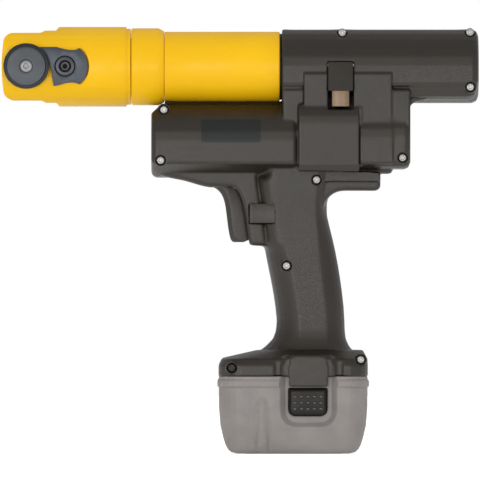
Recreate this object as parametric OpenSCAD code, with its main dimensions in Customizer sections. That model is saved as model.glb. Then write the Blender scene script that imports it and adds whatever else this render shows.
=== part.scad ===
// Compact cordless radial press tool, in millimetres.
// X runs to the rear of the tool, Y to its right side, Z up; the origin is the centre of the flat
// base of the battery pack. The muzzle with its tong fork points along -X.

/* [Battery pack] */
// Length of the battery case along the tool
battery_len = 90; // [86:0.5:96]
// Width of the battery case without its bead
battery_w = 78; // [75:0.5:84]
// Height of the battery case up to the seam under the foot
battery_h = 47; // [45.5:0.5:54]
// Corner radius of the case seen from above
battery_corner_r = 14; // [9:0.5:18]
// Wall of the case
battery_wall = 2.5; // [2:0.1:3]
// Stand-out of the bead round the top of the case
bead_out = 0.9; // [0.6:0.1:1.4]
// Height of the plug-in tower above the seam
tower_h = 38; // [30:0.5:40]
// Length of the tower
tower_len = 30; // [24:0.5:31]
// Width of the tower
tower_w = 22; // [16:0.5:24]
// Diameter of one cell
cell_d = 18.3; // [16:0.1:18.6]
// Length of one cell
cell_len = 65; // [55:0.5:70]
// Width of a latch button
latch_w = 22.5; // [18:0.5:25]
// Height of a latch button
latch_h = 16; // [13:0.5:17.5]
// Travel of a latch button
latch_travel = 3; // [2:0.1:3.5]

/* [Foot and grip] */
// Height of the foot over the battery seam
foot_h = 14.5; // [12:0.5:18]
// Height of the motor axis above the foot
grip_h = 130.5; // [127:0.5:137]
// Width of the grip
grip_w = 35; // [33:0.5:40]
// Wall of the moulded housing
wall = 2.4; // [2:0.1:2.6]

/* [Motor body] */
// Radius of the motor can
motor_r = 17.3; // [16.5:0.1:18]
// Length of the motor can
motor_len = 48; // [42:0.5:49]
// Width of the motor body
motor_body_w = 52; // [48:0.5:56]
// Front face of the motor body
motor_front_x = -86; // [-90:0.5:-86]
// Rear end of the motor body, where the gear body starts
gear_front_x = 3; // [1:0.5:5]
// Length of the gear body to its rear cap
gear_len = 68; // [66:0.5:74]
// Stand-out of the side covers over the gear body
cover_out = 3.2; // [2:0.1:4]

/* [Gears and pump] */
// Module of the planetary gear teeth
gear_m = 0.6; // [0.55:0.01:0.62]
// Throw of the pump eccentric
eccentric_throw = 1.8; // [1:0.1:2.2]
// Radius of the pump plunger
plunger_r = 4; // [3:0.1:5]
// Radius of the gear output shaft
shaft_r = 5; // [4:0.1:5.5]

/* [Top housing] */
// Front face of the top housing, where the barrel ends
top_front_x = -6.7; // [-9:0.1:-5]
// Length of the top housing
top_len = 119.2; // [112:0.5:126]
// Width of the top housing
top_w = 48; // [47:0.5:50]

/* [Press cylinder] */
// Radius of the barrel sleeve
barrel_r = 21.3; // [20.8:0.1:22]
// Length of the barrel sleeve
barrel_len = 70.8; // [64:0.5:78]
// Wall of the barrel sleeve
sleeve_t = 3.6; // [3.4:0.1:4.2]
// Radius of the piston
piston_r = 12; // [11:0.1:12.5]
// Radius of the piston rod
rod_r = 7; // [6:0.1:7.4]
// Stroke of the ram
ram_stroke = 22; // [10:1:22]

/* [Press head] */
// Radius of the fork
fork_r = 24.2; // [23.6:0.1:25.5]
// Length of the fork from its nose to the swivel joint
fork_len = 78; // [77:0.1:90]
// Radius of the swivel collar
collar_r = 23.4; // [22.8:0.1:24]
// Length of the swivel collar
collar_len = 20.1; // [18:0.1:24]
// Width of the slot for the press tongs
slot_w = 21; // [19:0.5:22]
// Distance between the flat outer faces of the cheeks
cheek_span = 42; // [40:0.5:44]
// Radius of the tong bolt
bolt_r = 7; // [6:0.1:7.2]
// Distance of the tong bolt behind the nose
bolt_setback = 15; // [14.6:0.1:15.4]
// Radius of the bolt knob
knob_r = 13.8; // [13:0.1:14.2]
// Thickness of the bolt knob
knob_t = 5.5; // [4:0.1:7]
// Distance from the tong bolt to the pivot of the latch plate
latch_pitch = 23.4; // [22.8:0.1:24.5]
// Thickness of the latch plate
latch_plate_t = 3; // [2:0.1:4]
// Radius of a press roller
roller_r = 7.5; // [6.5:0.1:7.6]

/* [Controls] */
// Width of the trigger
trigger_w = 17; // [14:0.5:17.5]
// Swing of the trigger in degrees
trigger_swing = 8; // [4:0.5:8]
// Width of the cross button through the grip
button_span = 33; // [31:0.5:34]
// Travel of the cross button
button_travel = 3; // [1:0.5:3]
// Swing of the reset lever in degrees
reset_swing = 7; // [3:0.5:7]

/* [Hidden] */
$fn = 48;
$coarse = false;

// Clearances: running fit, seat of a piece in the moulding, gap between moving mouldings
run = 0.05;
seat = 0.3;
gap = 0.5;

// Paints and materials
yellow = [0.95, 0.74, 0.12];
black_plastic = [0.2, 0.19, 0.18];
cover_plastic = [0.24, 0.23, 0.22];
grey_plastic = [0.55, 0.54, 0.53];
steel = [0.62, 0.63, 0.65];
dark_steel = [0.3, 0.31, 0.33];
bronze = [0.65, 0.52, 0.3];
rubber = [0.12, 0.12, 0.12];
copper = [0.72, 0.45, 0.25];
board_green = [0.1, 0.35, 0.2];

// Heights, built up from the battery base
seam_z = battery_h;
foot_top_z = seam_z + foot_h;
motor_z = foot_top_z + grip_h;
motor_top_z = motor_z + motor_r + seat + wall;
barrel_gap = 1.3;
barrel_z = motor_top_z + barrel_gap + barrel_r;
motor_bore_r = motor_r + seat + 0.15;
motor_low_z = motor_z - motor_r - 0.2;
belly_low_z = motor_low_z - 4.4;

// Stations along the barrel, from the top housing to the nose
barrel_rear_x = top_front_x - 0.6;
barrel_front_x = barrel_rear_x - barrel_len;
collar_front_x = barrel_front_x - collar_len;
fork_rear_x = collar_front_x - 0.4;
fork_front_x = fork_rear_x - fork_len;
bolt_x = fork_front_x + bolt_setback;
latch_x = bolt_x + latch_pitch;
cheek_y = cheek_span / 2;
slot_y = slot_w / 2;

// Press cylinder and its front end inside the collar
cyl_r = barrel_r - sleeve_t - seat;
neck_r = barrel_r - 1.2;
neck_in = 1;
collar_land = 8.2;
chamber_len = 4.6;
cyl_front_x = collar_front_x + collar_land + chamber_len;
cyl_rear_x = top_front_x + 26.7;
gland_len = 15;
gland_r = piston_r + 2;
bore_rear_x = cyl_rear_x - 7;
spigot_r = cyl_r - 0.4;
ring_t = 2;
ring_x = collar_front_x + collar_land + seat;

// Ram: piston, rod, head and rollers at rest
piston_len = 18;
piston_rear_x = bore_rear_x - 0.5;
piston_front_x = piston_rear_x - piston_len;
slot_rear_x = fork_rear_x - 4.5;
ram_rear_x = slot_rear_x - 0.5;
ram_web = 10;
roller_x = ram_rear_x - ram_web - 0.5 - roller_r;
roller_z = roller_r + 0.7;
pin_r = 3.5;
ram_pocket_y = slot_y - 4.2;

// Gear train, 12 tooth sun, 18 tooth planets, 48 tooth ring
sun_teeth = 12;
planet_teeth = 18;
ring_teeth = 48;
planet_orbit = gear_m * (sun_teeth + planet_teeth) / 2;
motor_x0 = motor_front_x + 12.2;
motor_x1 = motor_x0 + motor_len;
ring_x0 = gear_front_x - 19;
ring_len = 13;
carrier_x = ring_x0 + ring_len + 0.6;
flange_x0 = carrier_x + 4.6;
flange_len = 9;
eccentric_x = gear_front_x + 35;
eccentric_r = shaft_r + 1.5;
eccentric_len = 10;
rear_bearing_x = gear_front_x + 47;
bearing_len = 7;
bearing_r = 11;
gear_rear_x = gear_front_x + gear_len;

// Valve block behind the cylinder
valve_x0 = cyl_rear_x + 0.2;
valve_x1 = gear_front_x + 55;
valve_y = top_w / 2 - wall - 2.2;
valve_low_z = barrel_z - cyl_r;
valve_top_z = barrel_z + 16;
plunger_foot_z = motor_z + eccentric_r + eccentric_throw + 0.4;

// Side faces of the housing bodies
top_y = top_w / 2;
motor_y = motor_body_w / 2;
gear_y = motor_y - 0.5;
web_y = top_y + 1;

// Reset lever on the left side
reset_x0 = gear_front_x + 18.4;
reset_len = 14.6;
reset_top_z = barrel_z + 2.4;
reset_pivot_z = reset_top_z - 1.8;
reset_pivot_y = -(top_y - 2.2);
reset_low_z = motor_top_z - 1.4;
reset_stem_x = reset_x0 + reset_len / 2;
reset_stem_z = barrel_z - 12;
reset_stem_r = 2;

// Trigger, its pivot and the cross button
trigger_pivot_x = -47;
trigger_pivot_z = motor_z - 27.2;
trigger_top_z = motor_z - 29.2;
trigger_y = trigger_w / 2;
button_x0 = -26.4;
button_len = 14.8;
button_z0 = motor_z - 52.3;
button_h = 10.4;
button_shift = 1.2;
switch_x0 = -21.9;
switch_z0 = motor_z - 63.7;
switch_foot_h = 0.0536 * grip_h;
switch_len = 22.4;
frame_y = 14.6;
valley_y = 11.4;
pin_y = frame_y - 0.8;

// Battery details
case_y = battery_w / 2;
recess_x = 9.2;
recess_half = 17;
recess_floor_y = case_y - 3.6;
latch_x_mid = recess_x - 0.4;
latch_top_z = seam_z - 7.6;
lid_t = 2.6;
tower_x = 10.2;
cell_pitch = cell_d + 0.3;

// Screw places on the left side: x, z, half width of the surface there and post radius
boss_r = 3.9;
thin_boss_r = 2.9;
grip_post_x = -4;
housing_sites = [
  [motor_front_x + 7.6, motor_top_z - 3.7, 16.4, boss_r],
  [motor_front_x + 5.7, motor_low_z + 3, motor_y, boss_r],
  [14.2, motor_z - 26.2, 19.2, boss_r],
  [grip_post_x, motor_z - 78.4, grip_w / 2 - 0.6, boss_r],
  [7.8 - battery_len / 2, seam_z + 5, case_y - 0.4, boss_r],
  [battery_len / 2 - 4.2, seam_z + 9.9, case_y - 7, boss_r],
  [gear_rear_x - 4.7, motor_z - 12.9, gear_y - 0.8, boss_r],
  [top_front_x + top_len - 5.1, barrel_z - 12.6, top_y - 1.6, boss_r],
  [top_front_x + top_len - 5.1, barrel_z + 20.6, 10.9, thin_boss_r],
  [29.9, barrel_z + 20.4, 10.9, thin_boss_r]
];
head_r = 2.6;
head_h = 2.2;
head_bore_r = 3.1;
screw_r = 1.5;
screw_sink = 1.4;
screw_len = 8;

// Points along an arc about c
function arc(c, r, a0, a1, n) =
  [for (i = [0:n]) c + r * [cos(a0 + (a1 - a0) * i / n), sin(a0 + (a1 - a0) * i / n)]];

// Points along a cubic curve
function curve(p0, p1, p2, p3, n) =
  [for (i = [0:n]) let (t = i / n, u = 1 - t)
    u * u * u * p0 + 3 * u * u * t * p1 + 3 * u * t * t * p2 + t * t * t * p3];

// Smooth step between two half heights, for the run-out of a milled face
function ease(x0, x1, h0, h1, n) =
  [for (i = [0:n]) [x0 + (x1 - x0) * i / n, h0 + (h1 - h0) * (1 - cos(180 * i / n)) / 2]];

// Involute helpers for the gear teeth
function inv(a) = tan(a) * 180 / PI - a;
function half_tooth(teeth, r, rb, slack) =
  90 / teeth + inv(25) - inv(acos(min(1, rb / r))) + slack;
function polar(r, a) = [r * cos(a), r * sin(a)];
function gear_outline(teeth, r_in, r_out, slack) =
  let (rb = gear_m * teeth / 2 * cos(25), r0 = max(r_in, rb * 1.002))
  [for (k = [0:teeth - 1]) let (mid = 360 * k / teeth) each concat(
    [polar(r_in, mid - half_tooth(teeth, r0, rb, slack))],
    [for (i = [0:3]) let (r = r0 + (r_out - r0) * i / 3)
      polar(r, mid - half_tooth(teeth, r, rb, slack))],
    [for (i = [3:-1:0]) let (r = r0 + (r_out - r0) * i / 3)
      polar(r, mid + half_tooth(teeth, r, rb, slack))],
    [polar(r_in, mid + half_tooth(teeth, r0, rb, slack))]
  )];

// Profile drawn in X and Z, spread across the tool to both sides
module across(y) {
  rotate([90, 0, 0]) linear_extrude(2 * y, center = true) children();
}

// The same with its side edges rounded, drawn in by t
module pillow(y, r, t) {
  if (t > 0) across(y - t) offset(delta = -t) children();
  else for (a = [0:22.5:90]) across(y - r * (1 - cos(a))) offset(delta = -r * (1 - sin(a))) children();
}

// Profile drawn in Y and Z, drawn out along X
module along(x0, x1) {
  translate([x0, 0, 0]) rotate([90, 0, 90]) linear_extrude(x1 - x0) children();
}

// Round bar along X on the barrel axis, or on the motor axis
module barrel_rod(x0, x1, r) {
  translate([x0, 0, barrel_z]) rotate([0, 90, 0]) cylinder(r = r, h = x1 - x0);
}
module motor_rod(x0, x1, r) {
  translate([x0, 0, motor_z]) rotate([0, 90, 0]) cylinder(r = r, h = x1 - x0);
}

// Round bar across the tool
module cross_rod(x, z, y0, y1, r) {
  translate([x, y0, z]) rotate([-90, 0, 0]) cylinder(r = r, h = y1 - y0);
}

// Turned piece on the barrel axis, its profile given as x and radius
module barrel_turned(profile) {
  translate([0, 0, barrel_z]) rotate([0, 90, 0]) rotate_extrude($fn = 96)
    polygon([for (p = profile) [p[1], p[0]]]);
}

// Box between two corners
module block(a, b) {
  translate(a) cube(b - a);
}

// Section across the tool with its own top and bottom corner radii
module section(y, z0, z1, r_top, r_low) {
  hull() for (s = [-1, 1]) {
    translate([s * (y - r_top), z1 - r_top]) circle(r_top, $fn = $coarse ? 8 : 24);
    translate([s * (y - r_low), z0 + r_low]) circle(r_low, $fn = $coarse ? 4 : 8);
  }
}

// Moulded body along X with that section and rounded ends, the front one with its own rounding if given
module moulded(x0, x1, y, z0, z1, r_top, r_low, edge, front_edge = -1) {
  front = front_edge < 0 ? edge : front_edge;
  slice = 0.02;
  hull() {
    along(x0 + front, x1 - edge) section(y, z0, z1, max(r_top, 0.4), max(r_low, 0.4));
    for (q = [[x0, 1, front, 0], [x1, -1, edge, -slice]], a = $coarse ? [0] : [0, 45]) {
      s = q[2] * (1 - sin(a));
      translate([q[0] + q[1] * q[2] * (1 - cos(a)), 0, 0]) along(q[3], q[3] + slice)
        section(y - s, z0 + s, z1 - s, max(r_top - s, 0.4), max(r_low - s, 0.4));
    }
  }
}

// Plate seen from above with rounded corners
module plate(x0, x1, y, r, z0, z1) {
  hull() for (x = [x0 + r, x1 - r], s = [-1, 1])
    translate([x, s * (y - r), z0]) cylinder(r = r, h = z1 - z0, $fn = $coarse ? 12 : 24);
}

// Coil of round wire along X from x0 to x1 about the line y, z
module coil_x(x0, x1, mean_r, wire_r, turns) {
  around = 10;
  steps = turns * around;
  sides = 4;
  pts = [for (i = [0:steps], j = [0:sides - 1])
    let (a = 360 * i / around, q = 360 * j / sides, r = mean_r + wire_r * cos(q))
    [x0 + wire_r + (x1 - x0 - 2 * wire_r) * i / steps + wire_r * sin(q), r * cos(a), r * sin(a)]];
  walls = [for (i = [0:steps - 1], j = [0:sides - 1]) let (k = (j + 1) % sides)
    [i * sides + j, i * sides + k, (i + 1) * sides + k, (i + 1) * sides + j]];
  first = [for (j = [sides - 1:-1:0]) j];
  last = [for (j = [0:sides - 1]) steps * sides + j];
  polyhedron(pts, concat([first], walls, [last]), convexity = 12);
}

// Grip stations: height share above the foot, front x, rear x, width share, front and rear crease x
grip_stations = [
  [-0.03, -27, 40, 1.5, 4, 21],
  [0.015, -18.5, 35.2, 1.22, 4.2, 20.8],
  [0.06, -12.4, 32.2, 1.08, 4.2, 20.6],
  [0.12, -10.2, 31.6, 1.01, 4, 20.2],
  [0.2, -10.8, 31.1, 1, 3, 19.4],
  [0.3, -12.8, 29.6, 1, 0.8, 17.8],
  [0.4, -15.4, 27.6, 1, -2, 16.4],
  [0.5, -17.9, 25, 1.01, -5, 15.4],
  [0.58, -18.8, 22.4, 1.03, -7, 14.6],
  [0.66, -18.8, 20.4, 1.07, -9, 14],
  [0.74, -18.6, 22.4, 1.12, -11, 14.4],
  [0.82, -18.8, 27.4, 1.15, -12.4, 15],
  [0.92, -19, 32, 1.15, -13, 15.4]
];
grip_power = 2.3;
grip_panel = 0.44;
grip_shares = [1, 0.975, 0.9, 0.78, 0.62, grip_panel];

// Smooth curve through the stations
function blend(a, b, c, d, t) =
  0.5 * (2 * b + (c - a) * t + (2 * a - 5 * b + 4 * c - d) * t * t
    + (3 * b - a - 3 * c + d) * t * t * t);
function grip_at(u) =
  let (n = len(grip_stations) - 1, i = min(n - 1, floor(u * n)), t = u * n - i)
  blend(grip_stations[max(0, i - 1)], grip_stations[i], grip_stations[i + 1],
    grip_stations[min(n, i + 2)], t);
function grip_bulge(u) = pow(1 - pow(u, grip_power), 1 / grip_power);
function grip_side(u) = min(1, grip_bulge(u) / grip_bulge(grip_panel));
function grip_ring(s, t, shares) =
  let (half = grip_w / 2 * s[3] - t, z = foot_top_z + s[0] * grip_h, n = len(shares) - 1)
  [for (q = [[2, 1, 1], [1, 1, -1], [1, -1, 1], [2, -1, -1]], i = [0:n])
    let (u = shares[q[2] > 0 ? i : n - i], w = (u - grip_panel) / (1 - grip_panel),
      edge = s[q[0]] + t * (3 - 2 * q[0]), crease = s[q[0] + 3])
    if (u < 1 || q[2] > 0) [crease + (edge - crease) * w, q[1] * half * grip_side(u), z]];

// Swept grip, drawn in by t
module grip_form(t) {
  shares = $coarse ? [1, 0.92, 0.74, grip_panel] : grip_shares;
  n = len(grip_ring(grip_stations[0], t, shares));
  rings = $coarse ? 10 : 18;
  pts = [for (k = [0:rings]) each grip_ring(grip_at(k / rings), t, shares)];
  walls = [for (k = [0:rings - 1], j = [0:n - 1]) let (m = (j + 1) % n)
    [k * n + j, (k + 1) * n + j, (k + 1) * n + m, k * n + m]];
  low = [for (j = [0:n - 1]) j];
  high = [for (j = [n - 1:-1:0]) rings * n + j];
  polyhedron(pts, concat([low], walls, [high]), convexity = 8);
}

// Top housing over the cylinder, with its stepped lower edge
module top_form(t) {
  x0 = top_front_x;
  x1 = top_front_x + top_len;
  top = barrel_z + 22.7;
  step = barrel_z - 12.6;
  low = barrel_z - 20.2;
  moulded(x0 + t, x1 - t, top_y - t, step + t, top - t, 22.4 - t, 3 - t / 2, 4 - t / 2, 0.8);
  moulded(x0 + t, x1 - 1.2 - t, top_y - 2 - t, low + t, top - 3 - t, 20.4 - t, 7 - t / 2, 5 - t / 2, 0.8);
}

// Neck block and flat web between the top housing and the motor body
module web_form(t) {
  moulded(top_front_x + t, gear_front_x + 8 - t, top_y - 1.4 - t, motor_z + t, barrel_z - 13.2 - t,
    2 - t / 2, 2 - t / 2, 1 - t / 4);
  moulded(gear_front_x + 3.4 + t, gear_rear_x - 11.2 - t, web_y - t, motor_z + t, barrel_z - 4 - t,
    1.2 - t / 4, 1.2 - t / 4, 0.8 - t / 4);
  moulded(gear_front_x + 50 + t, gear_rear_x - t, web_y - 0.8 - t, motor_z - 12 + t,
    barrel_z - 14 - t, 1.4 - t / 4, 4 - t, 1 - t / 4);
  fillet_run = 9.6;
  fillet_h = 5;
  across(top_y - 7 - t) offset(delta = -t) difference() {
    translate([gear_rear_x - 9, barrel_z - 26]) square([9 + fillet_run, 12]);
    translate([gear_rear_x + fillet_run, barrel_z - 20.2 - fillet_h]) scale([fillet_run, fillet_h])
      circle(1, $fn = 48);
    translate([gear_rear_x, barrel_z - 40]) square([20, 19.8 - fillet_h]);
  }
}

// Motor body with its chamfered front corner and the saddle under the barrel
module motor_form(t) {
  chamfer = 8.6;
  difference() {
    moulded(motor_front_x + t, gear_front_x - t, motor_y - t, motor_low_z + t, motor_top_z - t,
      22.4 - t, 2.6 - t / 2, 3.2 - t / 2);
    translate([motor_front_x + t * 0.6, 0, motor_top_z - t * 0.6]) rotate([0, 45, 0])
      cube([chamfer, 2 * motor_y + 2, chamfer], center = true);
  }
  saddle_y = 5.4;
  if (t == 0) difference() {
    block([barrel_front_x + 0.1, -saddle_y, motor_top_z - 1.5], [top_front_x + 2, saddle_y, motor_top_z + barrel_gap + 1.4]);
    barrel_rod(barrel_front_x, top_front_x, barrel_r + seat);
  }
}

// Gear body, its middle sleeve and its rear cap
module gear_form(t) {
  sleeve_x0 = gear_front_x + 37.3;
  sleeve_x1 = gear_rear_x - 11.2;
  if (t > 0) motor_rod(sleeve_x0 - 4, sleeve_x0 + 8, 16.6);
  moulded(gear_front_x + t, sleeve_x0 + 2 - t, gear_y - t, motor_low_z - 1 + t, motor_top_z - 0.4 - t,
    3 - t / 2, 2.6 - t / 2, 1.2 - t / 4);
  moulded(sleeve_x0 + t, sleeve_x1 + 0.6 - t, gear_y + 1.6 - t, motor_low_z + 0.4 + t,
    motor_top_z + 0.4 - t, 21 - t, 2 - t / 4, 0.7 - t / 4);
  moulded(sleeve_x0 + 6 + t, gear_rear_x - t, gear_y + 0.6 - t, motor_low_z - 1.8 + t,
    motor_top_z + 0.2 - t, 20 - t, 5 - t, 3.6 - t / 2);
}

// Belly under the motor body, down to the trigger
belly_profile = concat(
  [[motor_front_x + 2, motor_low_z + 12]],
  curve([motor_front_x + 1.2, motor_low_z + 1], [motor_front_x + 1.6, motor_low_z - 5.5],
    [motor_front_x + 7, motor_low_z - 6.6], [motor_front_x + 12, motor_low_z - 7.6], 10),
  curve([motor_front_x + 15, motor_low_z - 8.2], [motor_front_x + 23, motor_low_z - 9.4],
    [motor_front_x + 28, motor_low_z - 12.2], [-50.6, motor_low_z - 13.2], 8),
  [[-24.4, motor_low_z - 13.2], [-22.6, motor_low_z + 12]]
);
module belly_form(t) {
  pillow(frame_y, 3, t) polygon(belly_profile);
}

// Trigger frame between the belly and the grip, and the floor of the valley behind it
frame_profile = concat(
  [[-46.4, motor_z - 28], [-41, motor_z - 30.4]],
  curve([-37, motor_z - 30.6], [-32.6, motor_z - 31.5], [-31, motor_z - 38],
    [-29.4, motor_z - 46], 8),
  [[-26.8, motor_z - 63.6]],
  curve([-26.4, motor_z - 65.2], [-26, motor_z - 66.2], [-23, motor_z - 66.2],
    [-20, motor_z - 66.3], 4),
  [[-17.2, motor_z - 66.3], [-16, motor_z - 65.4]],
  curve([-16.2, motor_z - 60], [-18, motor_z - 48], [-20, motor_z - 36], [-22.6, motor_z - 16], 6),
  [[-46.4, motor_z - 16]]
);
module frame_form(t) {
  pillow(frame_y, 2.4, t) polygon(frame_profile);
  across(valley_y - t) offset(delta = -t)
    polygon([[-28, motor_z - 16], [-25, motor_z - 44], [-22, motor_z - 66], [2, motor_z - 69], [6, motor_z - 16]]);
}

// Tail behind the grip, under the gear body
tail_profile = concat(
  [[0, motor_z - 20]],
  arc([31, motor_z - 45.4], 12.6, 172, 90, 10),
  arc([49.6, motor_z - 29.4], 3.4, -90, 0, 6),
  [[53, motor_z - 25]],
  arc([51, motor_z - 23.6], 2, 0, 90, 4)
);
module tail_form(t) {
  hull_y = 16;
  pillow(hull_y, 2.4, t) polygon(tail_profile);
  across(hull_y + 1.6 - t) offset(delta = -t) intersection() {
    polygon(tail_profile);
    translate([0, motor_z - 27]) square([70, 30]);
  }
  moulded(gear_front_x + 20 + t, gear_front_x + 57 - t, 15 - t, motor_low_z - 5 + t, motor_z - t,
    2.6 - t / 4, 3 - t / 4, 1.6 - t / 4);
}

// Foot over the battery: two lobes, a notch beside each, and the middle block with its tongue
tongue_half = 11.6;
tongue_out = 1;
notch_w = 3.6;
function hood(half, top, r, e) = concat(
  [[recess_x + half - e, seam_z]], arc([recess_x + half - r, top - r], r - e, 0, 90, 4),
  arc([recess_x - half + r, top - r], r - e, 90, 180, 4), [[recess_x - half + e, seam_z]]);
module foot_form(t) {
  half = battery_len / 2;
  difference() {
    hull() {
      plate(-half - 0.2 + t, half + 0.2 - t, case_y - t, battery_corner_r - t, seam_z, seam_z + 6.4 - t * 0.3);
      plate(-half + 1.8 + t, half - t, case_y - 2 - t, battery_corner_r - t, seam_z + 5, seam_z + 10.4 - t * 0.6);
      plate(-22 + t, half - 2.6 - t, case_y - 14 - t, battery_corner_r - t, seam_z + 12, foot_top_z + 0.9 - t);
    }
    if (t == 0) for (x = [recess_x - recess_half - notch_w, recess_x + recess_half - 0.5], s = [-1, 1])
      block([x, min(s * (case_y - 1.6), s * 60), seam_z - 1], [x + notch_w + 0.5, max(s * (case_y - 1.6), s * 60), seam_z + 40]);
  }
  if (t == 0) {
    hull() for (e = [0, 2.4]) across(case_y - 3 + 1.4 * e) polygon(hood(recess_half, seam_z + 13.4, 6, e));
    hull() for (e = [0, 0.8]) across(case_y + tongue_out - 0.8 + e) polygon(hood(tongue_half, seam_z + 13, 4, e));
  }
}

// Foot tongues that reach down over the battery case
module foot_tabs() {
  out = case_y + tongue_out;
  for (s = [-1, 1]) hull() for (e = [0, 0.8])
    block([recess_x - tongue_half + e, min(s * (recess_floor_y + 0.5), s * (out - e)), seam_z - 6.2 + e],
      [recess_x + tongue_half - e, max(s * (recess_floor_y + 0.5), s * (out - e)), seam_z + 6]);
}

// Whole housing shape drawn in by t
module housing_form(t) {
  $coarse = t > 0;
  top_form(t);
  web_form(t);
  motor_form(t);
  gear_form(t);
  belly_form(t);
  frame_form(t);
  tail_form(t);
  grip_form(t);
  foot_form(t);
}

// Ribs that hold the motor, the gearbox, the rear bearing and the cylinder
module housing_ribs() {
  rib_t = 2.4;
  for (x = [motor_x0 + 12, motor_x1 - 12, ring_x0 + 5])
    difference() {
      block([x, -motor_y, motor_low_z - 3], [x + rib_t, motor_y, motor_top_z]);
      motor_rod(x - 1, x + rib_t + 1, motor_bore_r);
    }
  difference() {
    block([rear_bearing_x + 2, -motor_y, motor_low_z - 3],
      [rear_bearing_x + 2 + rib_t, motor_y, motor_z + 14]);
    motor_rod(rear_bearing_x, rear_bearing_x + 8, bearing_r + seat);
  }
  difference() {
    block([top_front_x + 12, -top_y, barrel_z - 21], [top_front_x + 12 + rib_t, top_y, barrel_z + 23]);
    barrel_rod(top_front_x + 8, top_front_x + 18, cyl_r + seat);
  }
  grip_rib_z = foot_top_z + 0.276 * grip_h;
  difference() {
    block([-30, -grip_w, grip_rib_z], [50, grip_w, grip_rib_z + rib_t]);
    block([tower_x - 14, -10, grip_rib_z - 1], [tower_x + 14, 10, grip_rib_z + rib_t + 1]);
  }
}

// Openings in the housing
module housing_cuts() {
  barrel_rod(motor_front_x - 2, barrel_front_x + 0.1, collar_r + 0.8);
  barrel_rod(top_front_x - 4, top_front_x + 12, cyl_r + seat);
  barrel_rod(top_front_x - 1, top_front_x + neck_in + 0.4, neck_r + seat);
  translate([0, 0, seam_z - 1]) linear_extrude(1 + 3) offset(delta = -wall - 0.6)
    projection() plate(-battery_len / 2, battery_len / 2, case_y, battery_corner_r, 0, 1);
  block([-54, -trigger_y - 0.4, motor_z - 80], [-24, trigger_y + 0.4, trigger_pivot_z + 4]);
  block([button_x0 - gap, -40, button_z0 - gap], [button_x0 + button_len + gap, 0, button_z0 + button_h + gap]);
  translate([button_shift, 0, button_shift])
    block([button_x0 - gap, 0, button_z0 - gap], [button_x0 + button_len + gap, 40, button_z0 + button_h + gap]);
  block([reset_x0 - gap, -40, reset_low_z - 2.2], [reset_x0 + reset_len + gap, -valve_y, reset_top_z + gap]);
  cross_rod(trigger_pivot_x, trigger_pivot_z, -pin_y - 0.2, pin_y + 0.2, 1.5 + run);
  translate([reset_x0 - 2.6, reset_pivot_y, reset_pivot_z]) rotate([0, 90, 0])
    cylinder(r = 1.2 + run, h = reset_len + 5.2);
}

// Screw posts and their holes
module screw_posts() {
  for (p = housing_sites) cross_rod(p[0], p[1], -p[2], p[2], p[3], $fn = 10);
}
module screw_holes() {
  for (p = housing_sites) {
    head_y = p[2] - screw_sink;
    cross_rod(p[0], p[1], -60, -(head_y - head_h), head_bore_r, $fn = 14);
    cross_rod(p[0], p[1], -head_y, screw_len + 0.6, screw_r + 0.25, $fn = 8);
  }
}

// Closed shell of both housing halves
module housing_shell() {
  difference() {
    union() {
      difference() {
        housing_form(0);
        difference() {
          housing_form(wall);
          housing_ribs();
        }
      }
      foot_tabs();
      screw_posts();
    }
    motor_rod(motor_x0 - 0.1, flange_x0 + flange_len + 0.3, motor_bore_r);
    housing_cuts();
    screw_holes();
  }
}

module left_housing() {
  color(black_plastic) intersection() {
    housing_shell();
    block([-200, -100, 0], [200, 0, 400]);
  }
}

module right_housing() {
  color(black_plastic) intersection() {
    housing_shell();
    block([-200, 0, 0], [200, 100, 400]);
  }
}

// Screws that hold the halves together, heads on the left
module housing_screws() {
  color(steel) for (p = housing_sites) {
    head_y = p[2] - screw_sink;
    cross_rod(p[0], p[1], -head_y, -(head_y - head_h), head_r);
    cross_rod(p[0], p[1], -(head_y - head_h) - 0.5, screw_len, screw_r);
  }
}

// Curved cover on one side of the gear body
module side_cover(s) {
  x0 = gear_front_x + 0.2;
  x1 = gear_front_x + 37;
  in_y = gear_y + 0.1;
  notch_x = reset_x0 - gap;
  intersection() {
    difference() {
      moulded(x0, x1, gear_y + cover_out, motor_low_z - 4.6, motor_top_z + 6, 18, 5, 0.9);
      block([x0 - 1, -in_y, motor_low_z - 20], [x1 + 1, in_y, motor_top_z + 20]);
      block([notch_x, -50, motor_top_z - 3.6], [notch_x + reset_len + 2 * gap, 0, motor_top_z + 20]);
    }
    block([x0 - 1, min(0, s * 60), motor_low_z - 10], [x1 + 1, max(0, s * 60), motor_top_z + 10]);
  }
}
module left_side_cover() {
  color(cover_plastic) side_cover(-1);
}
module right_side_cover() {
  color(cover_plastic) side_cover(1);
}

// Painted sleeve round the press cylinder, its neck sunk in the housing's front face
module barrel_sleeve() {
  color(yellow) barrel_turned([
    [barrel_front_x, cyl_r + seat], [barrel_front_x, barrel_r - 0.3], [barrel_front_x + 0.5, barrel_r],
    [barrel_rear_x - 1.2, barrel_r], [barrel_rear_x - 0.8, barrel_r - 0.4], [barrel_rear_x - 0.8, neck_r],
    [top_front_x + neck_in, neck_r], [top_front_x + neck_in, cyl_r + seat]
  ]);
}

// Collar that carries the swivelling fork
module swivel_collar() {
  x0 = collar_front_x;
  x1 = barrel_front_x - 0.2;
  color(yellow) barrel_turned([
    [x0, spigot_r + run], [x0, collar_r - 0.8], [x0 + 0.8, collar_r], [x1 - 3.4, collar_r],
    [x1, barrel_r + 0.3], [x1, cyl_r + run], [cyl_front_x, cyl_r + run],
    [cyl_front_x, spigot_r + 2.4], [x0 + collar_land, spigot_r + 2.4], [x0 + collar_land, spigot_r + run]
  ]);
}

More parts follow.
